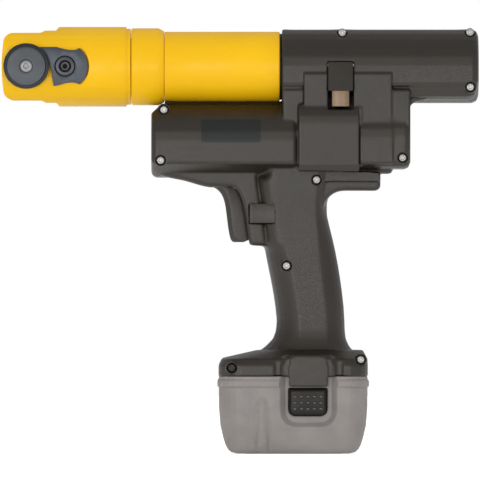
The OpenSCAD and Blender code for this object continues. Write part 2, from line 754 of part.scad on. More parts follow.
// Steel cylinder with the piston bore
module press_cylinder() {
  port_r = 2;
  gland_x = cyl_front_x + gland_len;
  color(steel) barrel_turned([
    [cyl_front_x, gland_r + run], [cyl_front_x, cyl_r], [cyl_rear_x, cyl_r], [cyl_rear_x, port_r],
    [bore_rear_x, port_r], [bore_rear_x, piston_r + run], [gland_x, piston_r + run], [gland_x, gland_r + run]
  ]);
}

// Bronze bush that guides the rod, with the groove of its seal
seal_x = cyl_front_x + 6;
seal_w = 3.2;
module cylinder_gland() {
  x1 = cyl_front_x + gland_len - 0.1;
  color(bronze) barrel_turned([
    [cyl_front_x, rod_r + run], [cyl_front_x, gland_r], [x1, gland_r], [x1, rod_r + run],
    [seal_x + seal_w, rod_r + run], [seal_x + seal_w, rod_r + 2.4], [seal_x, rod_r + 2.4], [seal_x, rod_r + run]
  ]);
}
module rod_seal() {
  color(rubber) barrel_turned([
    [seal_x + 0.1, rod_r + 0.03], [seal_x + 0.1, rod_r + 2.35],
    [seal_x + seal_w - 0.1, rod_r + 2.35], [seal_x + seal_w - 0.1, rod_r + 0.03]
  ]);
}

// Valve and pump block behind the cylinder
module valve_block() {
  boss_r2 = plunger_r + 4;
  color(steel) difference() {
    union() {
      intersection() {
        block([valve_x0, -valve_y, valve_low_z], [valve_x1, valve_y, valve_top_z]);
        along(valve_x0 - 1, valve_x1 + 1) translate([0, barrel_z]) circle(20.2, $fn = 96);
        along(valve_x0 - 1, valve_x1 + 1) translate([0, barrel_z - 1.2]) circle(20.2, $fn = 96);
      }
      translate([eccentric_x, 0, plunger_foot_z + 5.6]) cylinder(r = boss_r2, h = barrel_z - plunger_foot_z - 6);
    }
    translate([eccentric_x, 0, plunger_foot_z]) cylinder(r = plunger_r + run, h = 26);
    barrel_rod(valve_x0 - 1, eccentric_x, 2);
    cross_rod(reset_stem_x, reset_stem_z, -valve_y - 1, -valve_y + 12, reset_stem_r + run);
  }
}

// Rubber oil reservoir in the rear of the top housing
module oil_reservoir() {
  x0 = valve_x1 + 0.6;
  x1 = top_front_x + top_len - wall - 6.6;
  inset = wall + 0.6;
  color(rubber) moulded(x0, x1, top_y - 2.6 - inset, barrel_z - 20.2 + inset + 0.6, barrel_z + 19.6 - inset,
    15, 8, 2);
}

// Pump plunger over the eccentric
module pump_plunger() {
  color(steel) translate([eccentric_x, 0, plunger_foot_z]) union() {
    cylinder(r = plunger_r + 1, h = 2);
    cylinder(r = plunger_r, h = 22);
  }
}

// Relief stem that the reset lever pushes
module relief_stem() {
  color(steel) cross_rod(reset_stem_x, reset_stem_z, -lever_y + 0.35, -valve_y + 8, reset_stem_r);
}

// Motor can with its magnets' tube and end plates
module motor_can() {
  color(dark_steel) translate([0, 0, motor_z]) rotate([0, 90, 0]) rotate_extrude($fn = 96)
    polygon([for (p = [
      [motor_x0, 0], [motor_x0, motor_r], [motor_x1, motor_r], [motor_x1, 2.5 + run],
      [motor_x1 - 3, 2.5 + run], [motor_x1 - 3, motor_r - 2.6], [motor_x0 + 6, motor_r - 2.6],
      [motor_x0 + 6, 2.5 + run], [motor_x0 + 1, 2.5 + run], [motor_x0 + 1, 0]
    ]) [p[1], p[0]]]);
}

// Armature with shaft, core, commutator and the sun pinion
module armature() {
  core_r = motor_r - 3.4;
  color(copper) union() {
    motor_rod(motor_x0 + 1.4, ring_x0 + ring_len - 1, 1.9);
    motor_rod(motor_x0 + 1.4, ring_x0 - 0.4, 2.5);
    motor_rod(motor_x0 + 10, motor_x1 - 16, core_r);
    motor_rod(motor_x1 - 13, motor_x1 - 6, 7);
    translate([ring_x0 - 0.4, 0, motor_z]) rotate([90, 0, 90]) linear_extrude(ring_len - 0.6)
      polygon(gear_outline(sun_teeth, gear_m * (sun_teeth / 2 - 1.1), gear_m * (sun_teeth / 2 + 0.85), -0.9));
  }
}

// Fixed ring gear
module ring_gear() {
  color(steel) difference() {
    motor_rod(ring_x0, ring_x0 + ring_len, motor_r);
    translate([ring_x0 - 1, 0, motor_z]) rotate([90, 0, 90]) linear_extrude(ring_len + 2)
      rotate(180 / ring_teeth)
      polygon(gear_outline(ring_teeth, gear_m * (ring_teeth / 2 - 0.8), gear_m * (ring_teeth / 2 + 1.15), 0.24));
  }
}

// Planet carrier with its pins, the output shaft and the pump eccentric
planet_pin_r = 1.5;
module planet_carrier() {
  color(dark_steel) union() {
    motor_rod(carrier_x, carrier_x + 4, planet_orbit + 3);
    motor_rod(carrier_x, rear_bearing_x + bearing_len - 0.5, shaft_r);
    translate([eccentric_x - eccentric_len / 2, 0, motor_z + eccentric_throw]) rotate([0, 90, 0])
      cylinder(r = eccentric_r, h = eccentric_len);
    for (k = [0:2]) translate([ring_x0 + 0.6, 0, motor_z]) rotate([120 * k, 0, 0])
      translate([0, planet_orbit, 0]) rotate([0, 90, 0])
      cylinder(r = planet_pin_r, h = carrier_x - ring_x0 + 1);
  }
}

// One planet gear at place k
module planet_gear(k) {
  color(steel) translate([ring_x0 + 0.5, 0, motor_z]) rotate([120 * k, 0, 0])
    translate([0, planet_orbit, 0]) rotate([90, 0, 90]) linear_extrude(ring_len - 1)
    difference() {
      rotate(180 / planet_teeth)
        polygon(gear_outline(planet_teeth, gear_m * (planet_teeth / 2 - 1.1),
          gear_m * (planet_teeth / 2 + 0.75), -0.6));
      circle(planet_pin_r + run);
    }
}
module planet_gear_a() {
  planet_gear(0);
}
module planet_gear_b() {
  planet_gear(1);
}
module planet_gear_c() {
  planet_gear(2);
}

// Flange behind the gears that holds the front bearing
module gearbox_flange() {
  color(grey_plastic) difference() {
    motor_rod(flange_x0, flange_x0 + flange_len, motor_r);
    motor_rod(flange_x0 - 1, flange_x0 + flange_len + 1, shaft_r + 1);
    motor_rod(flange_x0 + 1.4, flange_x0 + flange_len + 1, bearing_r + run);
  }
}
module shaft_bearings() {
  color(steel) for (x = [flange_x0 + 1.6, rear_bearing_x])
    difference() {
      motor_rod(x, x + bearing_len, bearing_r);
      motor_rod(x - 1, x + bearing_len + 1, shaft_r + run);
    }
}

// Side view of the fork: bulged nose, milled steps and full radius
nose_h = fork_r - 3.8;
shoulder_h = fork_r - 1.9;
nose_bulge = 120;
nose_edge = 6;
fork_upper = concat(
  [for (z = [0:2:nose_h - nose_edge - 1]) [fork_front_x + nose_bulge - sqrt(nose_bulge * nose_bulge - z * z), z]],
  arc([fork_front_x + 0.9 + nose_edge, nose_h - nose_edge], nose_edge, 176, 90, 8),
  ease(fork_front_x + 22.6, fork_front_x + 28, nose_h, shoulder_h, 8),
  ease(fork_front_x + 32.8, fork_front_x + 35.4, shoulder_h, fork_r + 0.4, 6),
  [[fork_rear_x + 1, fork_r + 0.4]]
);
fork_outline = concat(fork_upper, [for (i = [len(fork_upper) - 1:-1:1]) [fork_upper[i][0], -fork_upper[i][1]]]);
flat_end_r = 14.7;
latch_screw_r = 2.5;
slot_open_x = fork_front_x + 33;
pocket_wall = 2.6;
spigot_rear_x = cyl_front_x - 0.4;

// Tong fork with two cheeks, the slot and the closed pocket behind it, the bolt bore and the swivel spigot
module fork() {
  color(yellow) difference() {
    union() {
      intersection() {
        union() {
          barrel_rod(fork_front_x - 1, fork_rear_x - 2.6, fork_r);
          barrel_rod(fork_rear_x - 5, fork_rear_x, fork_r - 1.1);
        }
        translate([0, 0, barrel_z]) across(fork_r + 2) polygon(fork_outline);
      }
      barrel_rod(fork_rear_x - 3, spigot_rear_x, spigot_r);
    }
    for (s = [-1, 1]) {
      y_mid = s * (cheek_y + 5);
      translate([(fork_front_x + latch_x) / 2 - 2, y_mid, barrel_z])
        cube([latch_x - fork_front_x + 4, 10, 4 * fork_r], center = true);
      cross_rod(latch_x, barrel_z, y_mid - 5, y_mid + 5, flat_end_r);
    }
    block([fork_front_x - 2, -slot_y, barrel_z - 40], [slot_open_x, slot_y, barrel_z + 40]);
    intersection() {
      block([slot_open_x - 1, -slot_y, barrel_z - 40], [slot_rear_x, slot_y, barrel_z + 40]);
      barrel_rod(slot_open_x - 2, slot_rear_x, fork_r - pocket_wall);
    }
    cross_rod(bolt_x, barrel_z, -40, 40, bolt_r + run);
    cross_rod(latch_x, barrel_z, -cheek_y - 1, -cheek_y + 8, latch_screw_r + run);
    barrel_rod(slot_rear_x - 1, spigot_rear_x + 1, rod_r + 0.4);
    difference() {
      barrel_rod(ring_x - 0.2, ring_x + ring_t + 0.2, spigot_r + 1);
      barrel_rod(ring_x - 1, ring_x + ring_t + 1, spigot_r - 1.6);
    }
  }
}

// Open ring that holds the fork in the collar
module swivel_ring() {
  color(steel) difference() {
    barrel_rod(ring_x, ring_x + ring_t, spigot_r + 1.9);
    barrel_rod(ring_x - 1, ring_x + ring_t + 1, spigot_r - 1.55);
    block([ring_x - 1, -2, barrel_z - 30], [ring_x + ring_t + 1, 2, barrel_z - 5]);
  }
}

// Flat latch beside the bolt, turning about its screw
plate_r = 14;
hub_r = bolt_r + 2.4;
plate_shape = concat(
  arc([latch_x, barrel_z], plate_r, -52, 52, 16),
  curve([latch_x + 6.5, barrel_z + 9.8], [latch_x + 2.5, barrel_z + 9.4], [latch_x - 1, barrel_z + 10.4],
    [latch_x - 5, barrel_z + 11.6], 6),
  [[latch_x - 15.6, barrel_z + 11.6], [latch_x - 15.6, barrel_z + 6], [latch_x - 9.2, barrel_z + 1],
   [latch_x - 6.8, barrel_z - 12.2]],
  curve([latch_x - 3, barrel_z - 11.4], [latch_x, barrel_z - 10.2], [latch_x + 3, barrel_z - 9.8],
    [latch_x + 6, barrel_z - 10], 6)
);
module latch_plate() {
  y0 = cheek_y + 0.1;
  y1 = y0 + latch_plate_t;
  color(dark_steel) difference() {
    translate([0, -(y0 + y1) / 2, 0]) across((y1 - y0) / 2) polygon(plate_shape);
    cross_rod(latch_x, barrel_z, -y1 - 1, -y0 + 1, latch_screw_r + run);
    cross_rod(latch_x, barrel_z, -y1 - 1, -y0 - 1.4, 6.2);
    cross_rod(bolt_x, barrel_z, -y1 - 1, -y0 + 1, hub_r + 0.4);
  }
}

// Pivot screw of the latch, its head sunk in the plate
module latch_screw() {
  y0 = cheek_y + 0.1;
  color(dark_steel) difference() {
    union() {
      cross_rod(latch_x, barrel_z, -cheek_y - 1.8, -cheek_y + 7.5, latch_screw_r);
      cross_rod(latch_x, barrel_z, -cheek_y - latch_plate_t - 0.4, -y0 - 1.6, 5.8);
    }
    cross_rod(latch_x, barrel_z, -cheek_y - 10, -y0 - latch_plate_t + 0.9, 1.9, $fn = 6);
  }
}

// Bolt through both cheeks, its knob and the knob's screw
knob_low_y = cheek_y + latch_plate_t + 0.5;
module tong_bolt() {
  color(steel) difference() {
    cross_rod(bolt_x, barrel_z, -knob_low_y - 0.4, cheek_y - 0.5, bolt_r);
    cross_rod(bolt_x, barrel_z, -knob_low_y - 1, -cheek_y + 12, 2.5 + run);
  }
}
module bolt_knob() {
  rim_t = knob_t * 0.46;
  color(dark_steel) translate([bolt_x, -cheek_y - 0.2, barrel_z]) rotate([90, 0, 0])
    rotate_extrude($fn = 96) polygon([
      [bolt_r + run, 0], [hub_r, 0], [hub_r, latch_plate_t + 0.3], [knob_r - 0.5, latch_plate_t + 0.3],
      [knob_r, latch_plate_t + 0.8], [knob_r, latch_plate_t + 0.3 + rim_t],
      [knob_r - 1.2, latch_plate_t + 0.9 + rim_t], [knob_r - 1.7, latch_plate_t + 0.9 + rim_t],
      [knob_r - 2.2, latch_plate_t + knob_t], [4, latch_plate_t + knob_t + 0.3],
      [4, latch_plate_t + knob_t - 1.4], [2.5 + run, latch_plate_t + knob_t - 1.4],
      [2.5 + run, latch_plate_t + 0.8], [bolt_r + run, latch_plate_t + 0.8]
    ]);
}
module bolt_screw() {
  y_top = cheek_y + 0.2 + latch_plate_t + knob_t;
  color(steel) union() {
    cross_rod(bolt_x, barrel_z, -y_top - 0.5, -y_top + 1.3, 3.8);
    cross_rod(bolt_x, barrel_z, -y_top, -cheek_y + 10, 2.5);
  }
}

// Piston with its rod, and the seal in its groove
piston_seal_x = piston_front_x + 8;
piston_seal_w = 3.4;
rod_tip_r = rod_r - 2;
rod_tip_x = ram_rear_x - 7;
module piston() {
  groove_r = piston_r - 2;
  color(steel) barrel_turned([
    [rod_tip_x, 0], [rod_tip_x, rod_tip_r], [ram_rear_x, rod_tip_r], [ram_rear_x, rod_r],
    [piston_front_x, rod_r], [piston_front_x, piston_r], [piston_seal_x, piston_r],
    [piston_seal_x, groove_r], [piston_seal_x + piston_seal_w, groove_r],
    [piston_seal_x + piston_seal_w, piston_r], [piston_rear_x, piston_r], [piston_rear_x, 0]
  ]);
}
module piston_seal() {
  color(rubber) barrel_turned([
    [piston_seal_x + 0.1, piston_r - 1.97], [piston_seal_x + 0.1, piston_r + 0.02],
    [piston_seal_x + piston_seal_w - 0.1, piston_r + 0.02],
    [piston_seal_x + piston_seal_w - 0.1, piston_r - 1.97]
  ]);
}

// Ram head between the cheeks, with the pocket for the rollers
module ram_head() {
  half_y = slot_y - seat;
  half_z = roller_z + roller_r - 0.4;
  front_x = roller_x - pin_r - 1.4;
  color(dark_steel) difference() {
    block([front_x, -half_y, barrel_z - half_z], [ram_rear_x, half_y, barrel_z + half_z]);
    block([front_x - 1, -ram_pocket_y, barrel_z - 40], [ram_rear_x - ram_web, ram_pocket_y, barrel_z + 40]);
    for (s = [-1, 1]) cross_rod(roller_x, barrel_z + s * roller_z, -20, 20, pin_r + 0.02);
    barrel_rod(rod_tip_x - 0.4, ram_rear_x + 1, rod_tip_r + 0.02);
  }
}
module roller_pins() {
  color(steel) for (s = [-1, 1])
    cross_rod(roller_x, barrel_z + s * roller_z, -slot_y + 0.5, slot_y - 0.5, pin_r);
}
module roller(s) {
  half_y = ram_pocket_y - 0.35;
  color(steel) difference() {
    cross_rod(roller_x, barrel_z + s * roller_z, -half_y, half_y, roller_r);
    cross_rod(roller_x, barrel_z + s * roller_z, -20, 20, pin_r + run);
  }
}
module upper_roller() {
  roller(1);
}
module lower_roller() {
  roller(-1);
}

// Coil spring that draws the piston back
return_wire_r = 1.1;
return_turns = 8;
return_x0 = cyl_front_x + gland_len + 0.2;
return_x1 = piston_front_x - 0.2;
module return_spring() {
  mean_r = (rod_r + piston_r) / 2;
  color(steel) translate([0, 0, barrel_z])
    coil_x(return_x0, return_x1, mean_r, return_wire_r, return_turns);
}

// Trigger hung on its pin at the top
module trigger() {
  px = trigger_pivot_x;
  pz = trigger_pivot_z;
  tz = trigger_top_z;
  outline = concat(
    curve([px - 3.2, tz - 0.8], [px + 4.4, tz - 3], [px + 5.8, tz - 9], [px + 6.8, tz - 20], 10),
    curve([px + 7.6, tz - 26], [px + 8.4, tz - 30], [px + 8.6, tz - 34.4], [px + 11, tz - 34.8], 6),
    [[px + 17, tz - 34.8], [px + 20.4, tz - 33.4], [px + 19.4, tz - 24], [px + 18, tz - 12],
     [px + 15, tz - 4], [px + 8, tz - 0.4]],
    arc([px, pz], 3.2, 50, 176, 8)
  );
  color(black_plastic) difference() {
    across(trigger_y) polygon(outline);
    cross_rod(px, pz, -20, 20, 1.5 + run);
  }
}
module trigger_pin() {
  color(steel) cross_rod(trigger_pivot_x, trigger_pivot_z, -pin_y, pin_y, 1.5);
}
module trigger_spring() {
  color(steel) translate([0, 0, switch_z0 + 4.6]) coil_x(trigger_pivot_x + 20.7, switch_x0 - 0.2, 2.2, 0.35, 3);
}

// Switch behind the trigger
module switch_module() {
  z0 = switch_z0 + 0.2;
  color(rubber) union() {
    block([switch_x0, -8.6, z0], [switch_x0 + switch_len, 8.6, z0 + 10.4]);
    block([switch_x0 + 13, -6.6, z0 - switch_foot_h], [switch_x0 + switch_len, 6.6, z0 + 2]);
  }
}

// Push-through button over the switch
module cross_button() {
  face_edge = 1.2;
  y = button_span / 2;
  head_y0 = frame_y - 0.6;
  color(cover_plastic) union() {
    for (s = [-1, 1]) translate((s + 1) / 2 * [button_shift, 0, button_shift]) hull() for (e = [0, face_edge])
      block([button_x0 + e, min(s * head_y0, s * (y - face_edge + e)), button_z0 + e],
        [button_x0 + button_len - e, max(s * head_y0, s * (y - face_edge + e)), button_z0 + button_h - e]);
    block([button_x0 + 5, -head_y0 - 1, button_z0 + button_shift + 0.2],
      [button_x0 + button_len - 1.4, head_y0 + 1, button_z0 + button_h - 1.4]);
  }
}

// Reset lever: steel tongue with a plastic pad, hinged at its top
lever_y = top_y + 0.4;
lever_t = 1.6;
module reset_lever() {
  x_mid = reset_x0 + reset_len / 2;
  z0 = reset_low_z - 0.4;
  color(bronze) difference() {
    union() {
      block([x_mid - 5.2, -lever_y - lever_t, z0], [x_mid + 5.2, -lever_y, reset_pivot_z]);
      block([x_mid - 5.2, -lever_y - lever_t, reset_pivot_z - 1.4], [x_mid + 5.2, reset_pivot_y, reset_pivot_z]);
      translate([x_mid - 5.2, reset_pivot_y, reset_pivot_z]) rotate([0, 90, 0]) cylinder(r = 1.9, h = 10.4);
    }
    translate([x_mid - 20, reset_pivot_y, reset_pivot_z]) rotate([0, 90, 0]) cylinder(r = 1.2 + run, h = 40);
  }
}
module reset_pad() {
  z_low = barrel_z - 15;
  y0 = lever_y + lever_t + 0.02;
  color(rubber) translate([reset_x0, 0, 0]) rotate([90, 0, 90]) linear_extrude(reset_len)
    polygon([
      [-y0, z_low], [-y0 - 2.4, z_low], [-y0 - 2.6, z_low + 2], [-y0 - 0.5, reset_top_z - 2.2],
      [-y0, reset_top_z - 1.4]
    ]);
}
module reset_pivot_pin() {
  color(steel) translate([reset_x0 - 2.4, reset_pivot_y, reset_pivot_z]) rotate([0, 90, 0])
    cylinder(r = 1.2, h = reset_len + 4.8);
}

// Contacts above the battery tower and the control board on them
contact_z = seam_z + tower_h + 0.6;
contact_h = 8;
contact_x0 = grip_post_x + boss_r + seat;
module contact_block() {
  color(rubber) union() {
    block([contact_x0, -9, contact_z], [tower_x + 13, 9, contact_z + contact_h]);
    for (y = [-5.5, 0, 5.5])
      block([tower_x - 4, y - 0.4, contact_z - 8], [tower_x + 4, y + 0.4, contact_z + 2]);
  }
}
module control_board() {
  z0 = contact_z + contact_h + 0.2;
  color(board_green) union() {
    block([tower_x - 9.4, 4, z0], [tower_x + 12, 5.6, z0 + 24]);
    block([tower_x - 8, 0.8, z0 + 4], [tower_x, 4.2, z0 + 14]);
    block([tower_x - 7, 1.8, z0 + 17], [tower_x - 1, 4.2, z0 + 22]);
    cross_rod(tower_x + 6, z0 + 7, -3, 4.2, 3.6);
    cross_rod(tower_x + 6, z0 + 17.6, 0, 4.2, 3);
  }
}

// Battery case, drawn in by t, tapered to its base
module case_form(t) {
  half = battery_len / 2;
  r = battery_corner_r;
  hull() for (p = $coarse ? [[0, 11], [3, 5], [17, 0.9], [28, 0]]
    : [[0, 11], [0.9, 7.2], [2.6, 5.4], [5.5, 3.9], [10, 2.5], [17, 0.9], [28, 0]])
    plate(-half + p[1] + t, half - p[1] - t, case_y - p[1] * 0.7 - t, max(r - p[1] * 0.5 - t, 2),
      p[0] + t, battery_h - 0.1);
}
module recess_shape() {
  r = 9.5;
  low = seam_z - 31.2;
  hull() {
    for (s = [-1, 1]) translate([recess_x + s * (recess_half - r), low + r]) circle(r, $fn = 24);
    translate([recess_x - recess_half, seam_z]) square([2 * recess_half, 3]);
  }
}
module battery_case() {
  half = battery_len / 2;
  rib_x = -18.9;
  rib_top = seam_z - 10.4;
  color(grey_plastic) difference() {
    union() {
      difference() {
        union() {
          case_form(0, $coarse = false);
          hull() for (e = [0, 0.9])
            plate(-half - bead_out + e, half + bead_out - e, case_y + bead_out - e, battery_corner_r, seam_z - 6.4 + e,
              seam_z - 2.6 - e);
          for (s = [-1, 1]) hull() {
            translate([rib_x, s * (case_y - 5), 5.8]) sphere(5.2, $fn = 12);
            translate([rib_x, s * (case_y - 3.6), rib_top - 5]) sphere(4.8, $fn = 12);
          }
        }
        for (s = [-1, 1]) hull() for (e = [0, 1])
          translate([0, s * (recess_floor_y + 3.8 * e + 5), 0]) across(5)
          offset(delta = -3 + 3.6 * e) recess_shape();
      }
    }
    difference() {
      union() {
        case_form(battery_wall, $coarse = true);
        plate(-half + battery_wall, half - battery_wall, case_y - battery_wall, battery_corner_r - battery_wall,
          battery_h - lid_t - 0.2, battery_h + 1);
      }
      for (s = [-1, 1]) translate([0, s * (recess_floor_y - battery_wall / 2 + 10), 0])
        across(10 + battery_wall / 2) recess_shape();
    }
    for (s = [-1, 1])
      translate([latch_x_mid, s * 40, 0]) across(20) offset(delta = gap) latch_shape();
    for (x = [-1, 1], y = [-1, 1]) translate([x * (half - 14), y * (case_y - 12), -1]) {
      cylinder(r = 3.2, h = 3.2, $fn = 20);
      cylinder(r = 1.8, h = 10, $fn = 14);
    }
  }
}

// Lid of the battery case with the hollow plug-in tower
module battery_lid() {
  half = battery_len / 2;
  inset = battery_wall + seat;
  tx0 = tower_x - tower_len / 2;
  tx1 = tower_x + tower_len / 2;
  ty = tower_w / 2;
  tower_top = seam_z + tower_h;
  color(grey_plastic) difference() {
    union() {
      plate(-half + inset, half - inset, case_y - inset, battery_corner_r - inset, seam_z - lid_t, seam_z - 0.2);
      plate(tx0, tx1, ty, 3, seam_z - lid_t, tower_top);
    }
    plate(tx0 + 2, tx1 - 2, ty - 2, 1.5, seam_z - lid_t - 1, tower_top - 2.4);
    for (y = [-5.5, 0, 5.5])
      block([tower_x - 4.6, y - 0.9, tower_top - 4], [tower_x + 4.6, y + 0.9, tower_top + 1]);
    for (s = [-1, 1])
      block([recess_x - recess_half - 0.3, min(s * (recess_floor_y - battery_wall - 0.3), s * 60), seam_z - 6],
        [recess_x + recess_half + 0.3, max(s * (recess_floor_y - battery_wall - 0.3), s * 60), seam_z + 1]);
  }
}

// Four cells in their holder
cell_low_z = battery_wall + 0.8 + cell_d / 2;
module battery_cells() {
  color(copper) for (s = [-1, 1], k = [0, 1])
    translate([-cell_len / 2, s * cell_pitch / 2, cell_low_z + k * cell_pitch]) rotate([0, 90, 0])
    union() {
      cylinder(r = cell_d / 2, h = cell_len - 1);
      cylinder(r = 3, h = cell_len);
    }
}
module cell_holder() {
  y = cell_pitch + 1.6;
  z0 = battery_wall + 0.3;
  color(rubber) for (x = [-cell_len / 2 + 6, cell_len / 2 - 12])
    difference() {
      block([x, -y, z0], [x + 6, y, cell_low_z + cell_pitch * 1.5 + 1.4]);
      for (s = [-1, 1], k = [0, 1])
        translate([x - 1, s * cell_pitch / 2, cell_low_z + k * cell_pitch]) rotate([0, 90, 0])
          cylinder(r = cell_d / 2 + 0.1, h = 8);
    }
}

// Sprung contact strips in the tower
module battery_terminals() {
  top = seam_z + tower_h - 2.6;
  color(bronze) for (y = [-5.5, 0, 5.5], s = [-1, 1])
    block([tower_x - 3, y + s * 1.2 - 0.3, top - 12], [tower_x + 3, y + s * 1.2 + 0.3, top]);
}

// Latch button on one side of the case, with its inner flange
latch_corner_r = 3.6;
module latch_shape() {
  hw = latch_w / 2;
  z0 = latch_top_z - latch_h;
  hull() {
    for (q = [-1, 1]) translate([q * (hw - latch_corner_r), z0 + latch_corner_r]) circle(latch_corner_r, $fn = 24);
    translate([-hw, latch_top_z - 2]) square([2 * hw, 2]);
  }
}
latch_face_y = case_y + 0.3;
latch_flange_y = recess_floor_y - battery_wall - 0.5;
module latch(s) {
  hw = latch_w / 2;
  z0 = latch_top_z - latch_h;
  color(grey_plastic) union() {
    hull() for (e = [0, 1]) {
      y0 = latch_flange_y - 0.5;
      y1 = latch_face_y - e * 1.2;
      translate([latch_x_mid, s * (y0 + y1) / 2, 0]) across((y1 - y0) / 2)
        offset(delta = 1.2 * e - 1.2) latch_shape();
    }
    block([latch_x_mid - hw - 2, min(s * (latch_flange_y - 2), s * latch_flange_y), z0 - 2],
      [latch_x_mid + hw + 2, max(s * (latch_flange_y - 2), s * latch_flange_y), latch_top_z + 2]);
  }
}
module left_latch() {
  latch(-1);
}
module right_latch() {
  latch(1);
}

// Springs between the cell holder's cells and the latches
module latch_spring(s) {
  y0 = cell_pitch + 0.4;
  y1 = latch_flange_y - 2.2;
  color(steel) translate([latch_x_mid, 0, latch_top_z - latch_h / 2]) rotate([0, 0, s * 90])
    coil_x(y0, y1, 3, 0.4, 4);
}
module left_latch_spring() {
  latch_spring(-1);
}
module right_latch_spring() {
  latch_spring(1);
}

// Screws under the battery case
module battery_screws() {
  half = battery_len / 2;
  color(steel) for (x = [-1, 1], y = [-1, 1]) translate([x * (half - 14), y * (case_y - 12), 0.8]) {
    cylinder(r = 2.8, h = 1.3);
    cylinder(r = 1.5, h = 7);
  }
}

echo(return_spring_gap = (return_x1 - return_x0 - 2 * return_wire_r) / return_turns - 2 * return_wire_r);

left_housing();
right_housing();
housing_screws();
left_side_cover();
right_side_cover();
barrel_sleeve();
swivel_collar();
press_cylinder();
cylinder_gland();
rod_seal();
valve_block();
oil_reservoir();
pump_plunger();
relief_stem();
motor_can();
armature();
ring_gear();
planet_carrier();
planet_gear_a();
planet_gear_b();
planet_gear_c();
gearbox_flange();
shaft_bearings();
fork();
swivel_ring();
latch_screw();
latch_plate();
tong_bolt();
bolt_knob();
bolt_screw();
piston();
piston_seal();
ram_head();
roller_pins();
upper_roller();
lower_roller();
return_spring();
trigger();
trigger_pin();
trigger_spring();
switch_module();
cross_button();
reset_lever();
reset_pad();
reset_pivot_pin();
control_board();
contact_block();
battery_case();
battery_lid();
battery_cells();
cell_holder();
battery_terminals();
left_latch();
right_latch();
left_latch_spring();
right_latch_spring();
battery_screws();
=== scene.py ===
import math

import bmesh
import bpy
import numpy as np
from mathutils import Matrix, Vector
from mathutils.bvhtree import BVHTree


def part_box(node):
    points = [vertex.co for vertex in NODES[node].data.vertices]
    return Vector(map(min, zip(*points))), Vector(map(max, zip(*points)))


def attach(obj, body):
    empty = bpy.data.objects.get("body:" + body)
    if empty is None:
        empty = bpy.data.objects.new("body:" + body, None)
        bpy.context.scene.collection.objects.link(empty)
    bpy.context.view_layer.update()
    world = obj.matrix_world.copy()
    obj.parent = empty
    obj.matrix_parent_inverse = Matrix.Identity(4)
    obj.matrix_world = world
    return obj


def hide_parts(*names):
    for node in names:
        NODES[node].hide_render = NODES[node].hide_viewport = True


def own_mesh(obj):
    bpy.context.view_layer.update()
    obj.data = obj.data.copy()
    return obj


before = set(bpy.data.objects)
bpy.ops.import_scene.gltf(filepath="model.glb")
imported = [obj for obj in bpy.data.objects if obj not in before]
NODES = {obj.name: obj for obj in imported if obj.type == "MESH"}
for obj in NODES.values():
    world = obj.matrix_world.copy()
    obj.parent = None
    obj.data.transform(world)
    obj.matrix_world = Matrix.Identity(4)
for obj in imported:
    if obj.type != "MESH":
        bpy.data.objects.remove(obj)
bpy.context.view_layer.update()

MM = 0.001
SCENE = bpy.context.scene

# Places on the tool in mm: x runs to the rear and z up, and the left side lies at negative y
# Behind this station the barrel sleeve is coloured near black, where it runs into the groove at the
# housing
DARK_NECK_X = -8.1
PLATE_LOW, PLATE_HIGH = (-55.6, 188.4), (-19.8, 202.2)
SUNK_SITE = (-37.2, 52.0)


# Finishes

def srgb(r, g, b):
    """Linear colour of a paint given as 0 to 255 screen values."""
    def lin(v):
        v /= 255
        return v / 12.92 if v <= 0.04045 else ((v + 0.055) / 1.055) ** 2.4
    return (lin(r), lin(g), lin(b), 1)


def shade(colour, k):
    return tuple(min(1, c * k) for c in colour[:3]) + (1,)


class Finish:
    """A material and short calls for its nodes."""

    def __init__(self, name):
        self.material = bpy.data.materials.new(name)
        self.material.use_nodes = True
        self.tree = self.material.node_tree
        self.bsdf = self.tree.nodes["Principled BSDF"]
        self.coords = self.add("ShaderNodeTexCoord").outputs["Object"]

    def add(self, kind, **sockets):
        made = self.tree.nodes.new(kind)
        for key, value in sockets.items():
            self.put(made, key.replace("_", " "), value)
        return made

    def put(self, made, key, value):
        socket = made.inputs[key]
        if isinstance(value, bpy.types.NodeSocket):
            self.tree.links.new(value, socket)
        else:
            socket.default_value = value

    def set(self, **sockets):
        for key, value in sockets.items():
            self.put(self.bsdf, key.replace("_", " "), value)

    def noise(self, size_mm, detail=2.0, rough=0.5):
        made = self.add("ShaderNodeTexNoise", Vector=self.coords, Scale=1000 / size_mm,
                        Detail=detail, Roughness=rough)
        return made.outputs["Fac"]

    def ramp(self, fac, stops):
        made = self.add("ShaderNodeValToRGB", Fac=fac)
        for element, (place, colour) in zip(made.color_ramp.elements, stops):
            element.position = place
            element.color = colour
        return made.outputs["Color"]

    def spread(self, fac, low, high, at=(0.3, 0.7)):
        made = self.add("ShaderNodeMapRange", Value=fac)
        for key, value in zip(("From Min", "From Max", "To Min", "To Max"), (*at, low, high)):
            made.inputs[key].default_value = value
        return made.outputs["Result"]

    def mix(self, fac, a, b):
        made = self.tree.nodes.new("ShaderNodeMix")
        made.data_type = "RGBA"
        for index, value in ((0, fac), (6, a), (7, b)):
            self.put(made, index, value)
        return made.outputs[2]

    def bump(self, height, strength, depth_mm):
        made = self.add("ShaderNodeBump", Height=height, Strength=strength, Distance=depth_mm * MM)
        return made.outputs["Normal"]

    def pointiness(self):
        return self.add("ShaderNodeNewGeometry").outputs["Pointiness"]


# Pointiness over which painted shade darkens creases and painted highlights lighten edges
CREASE_BEND = (0.44, 0.485)
EDGE_BEND = (0.52, 0.6)
PAINT_EDGE_BEND = (0.53, 0.62)


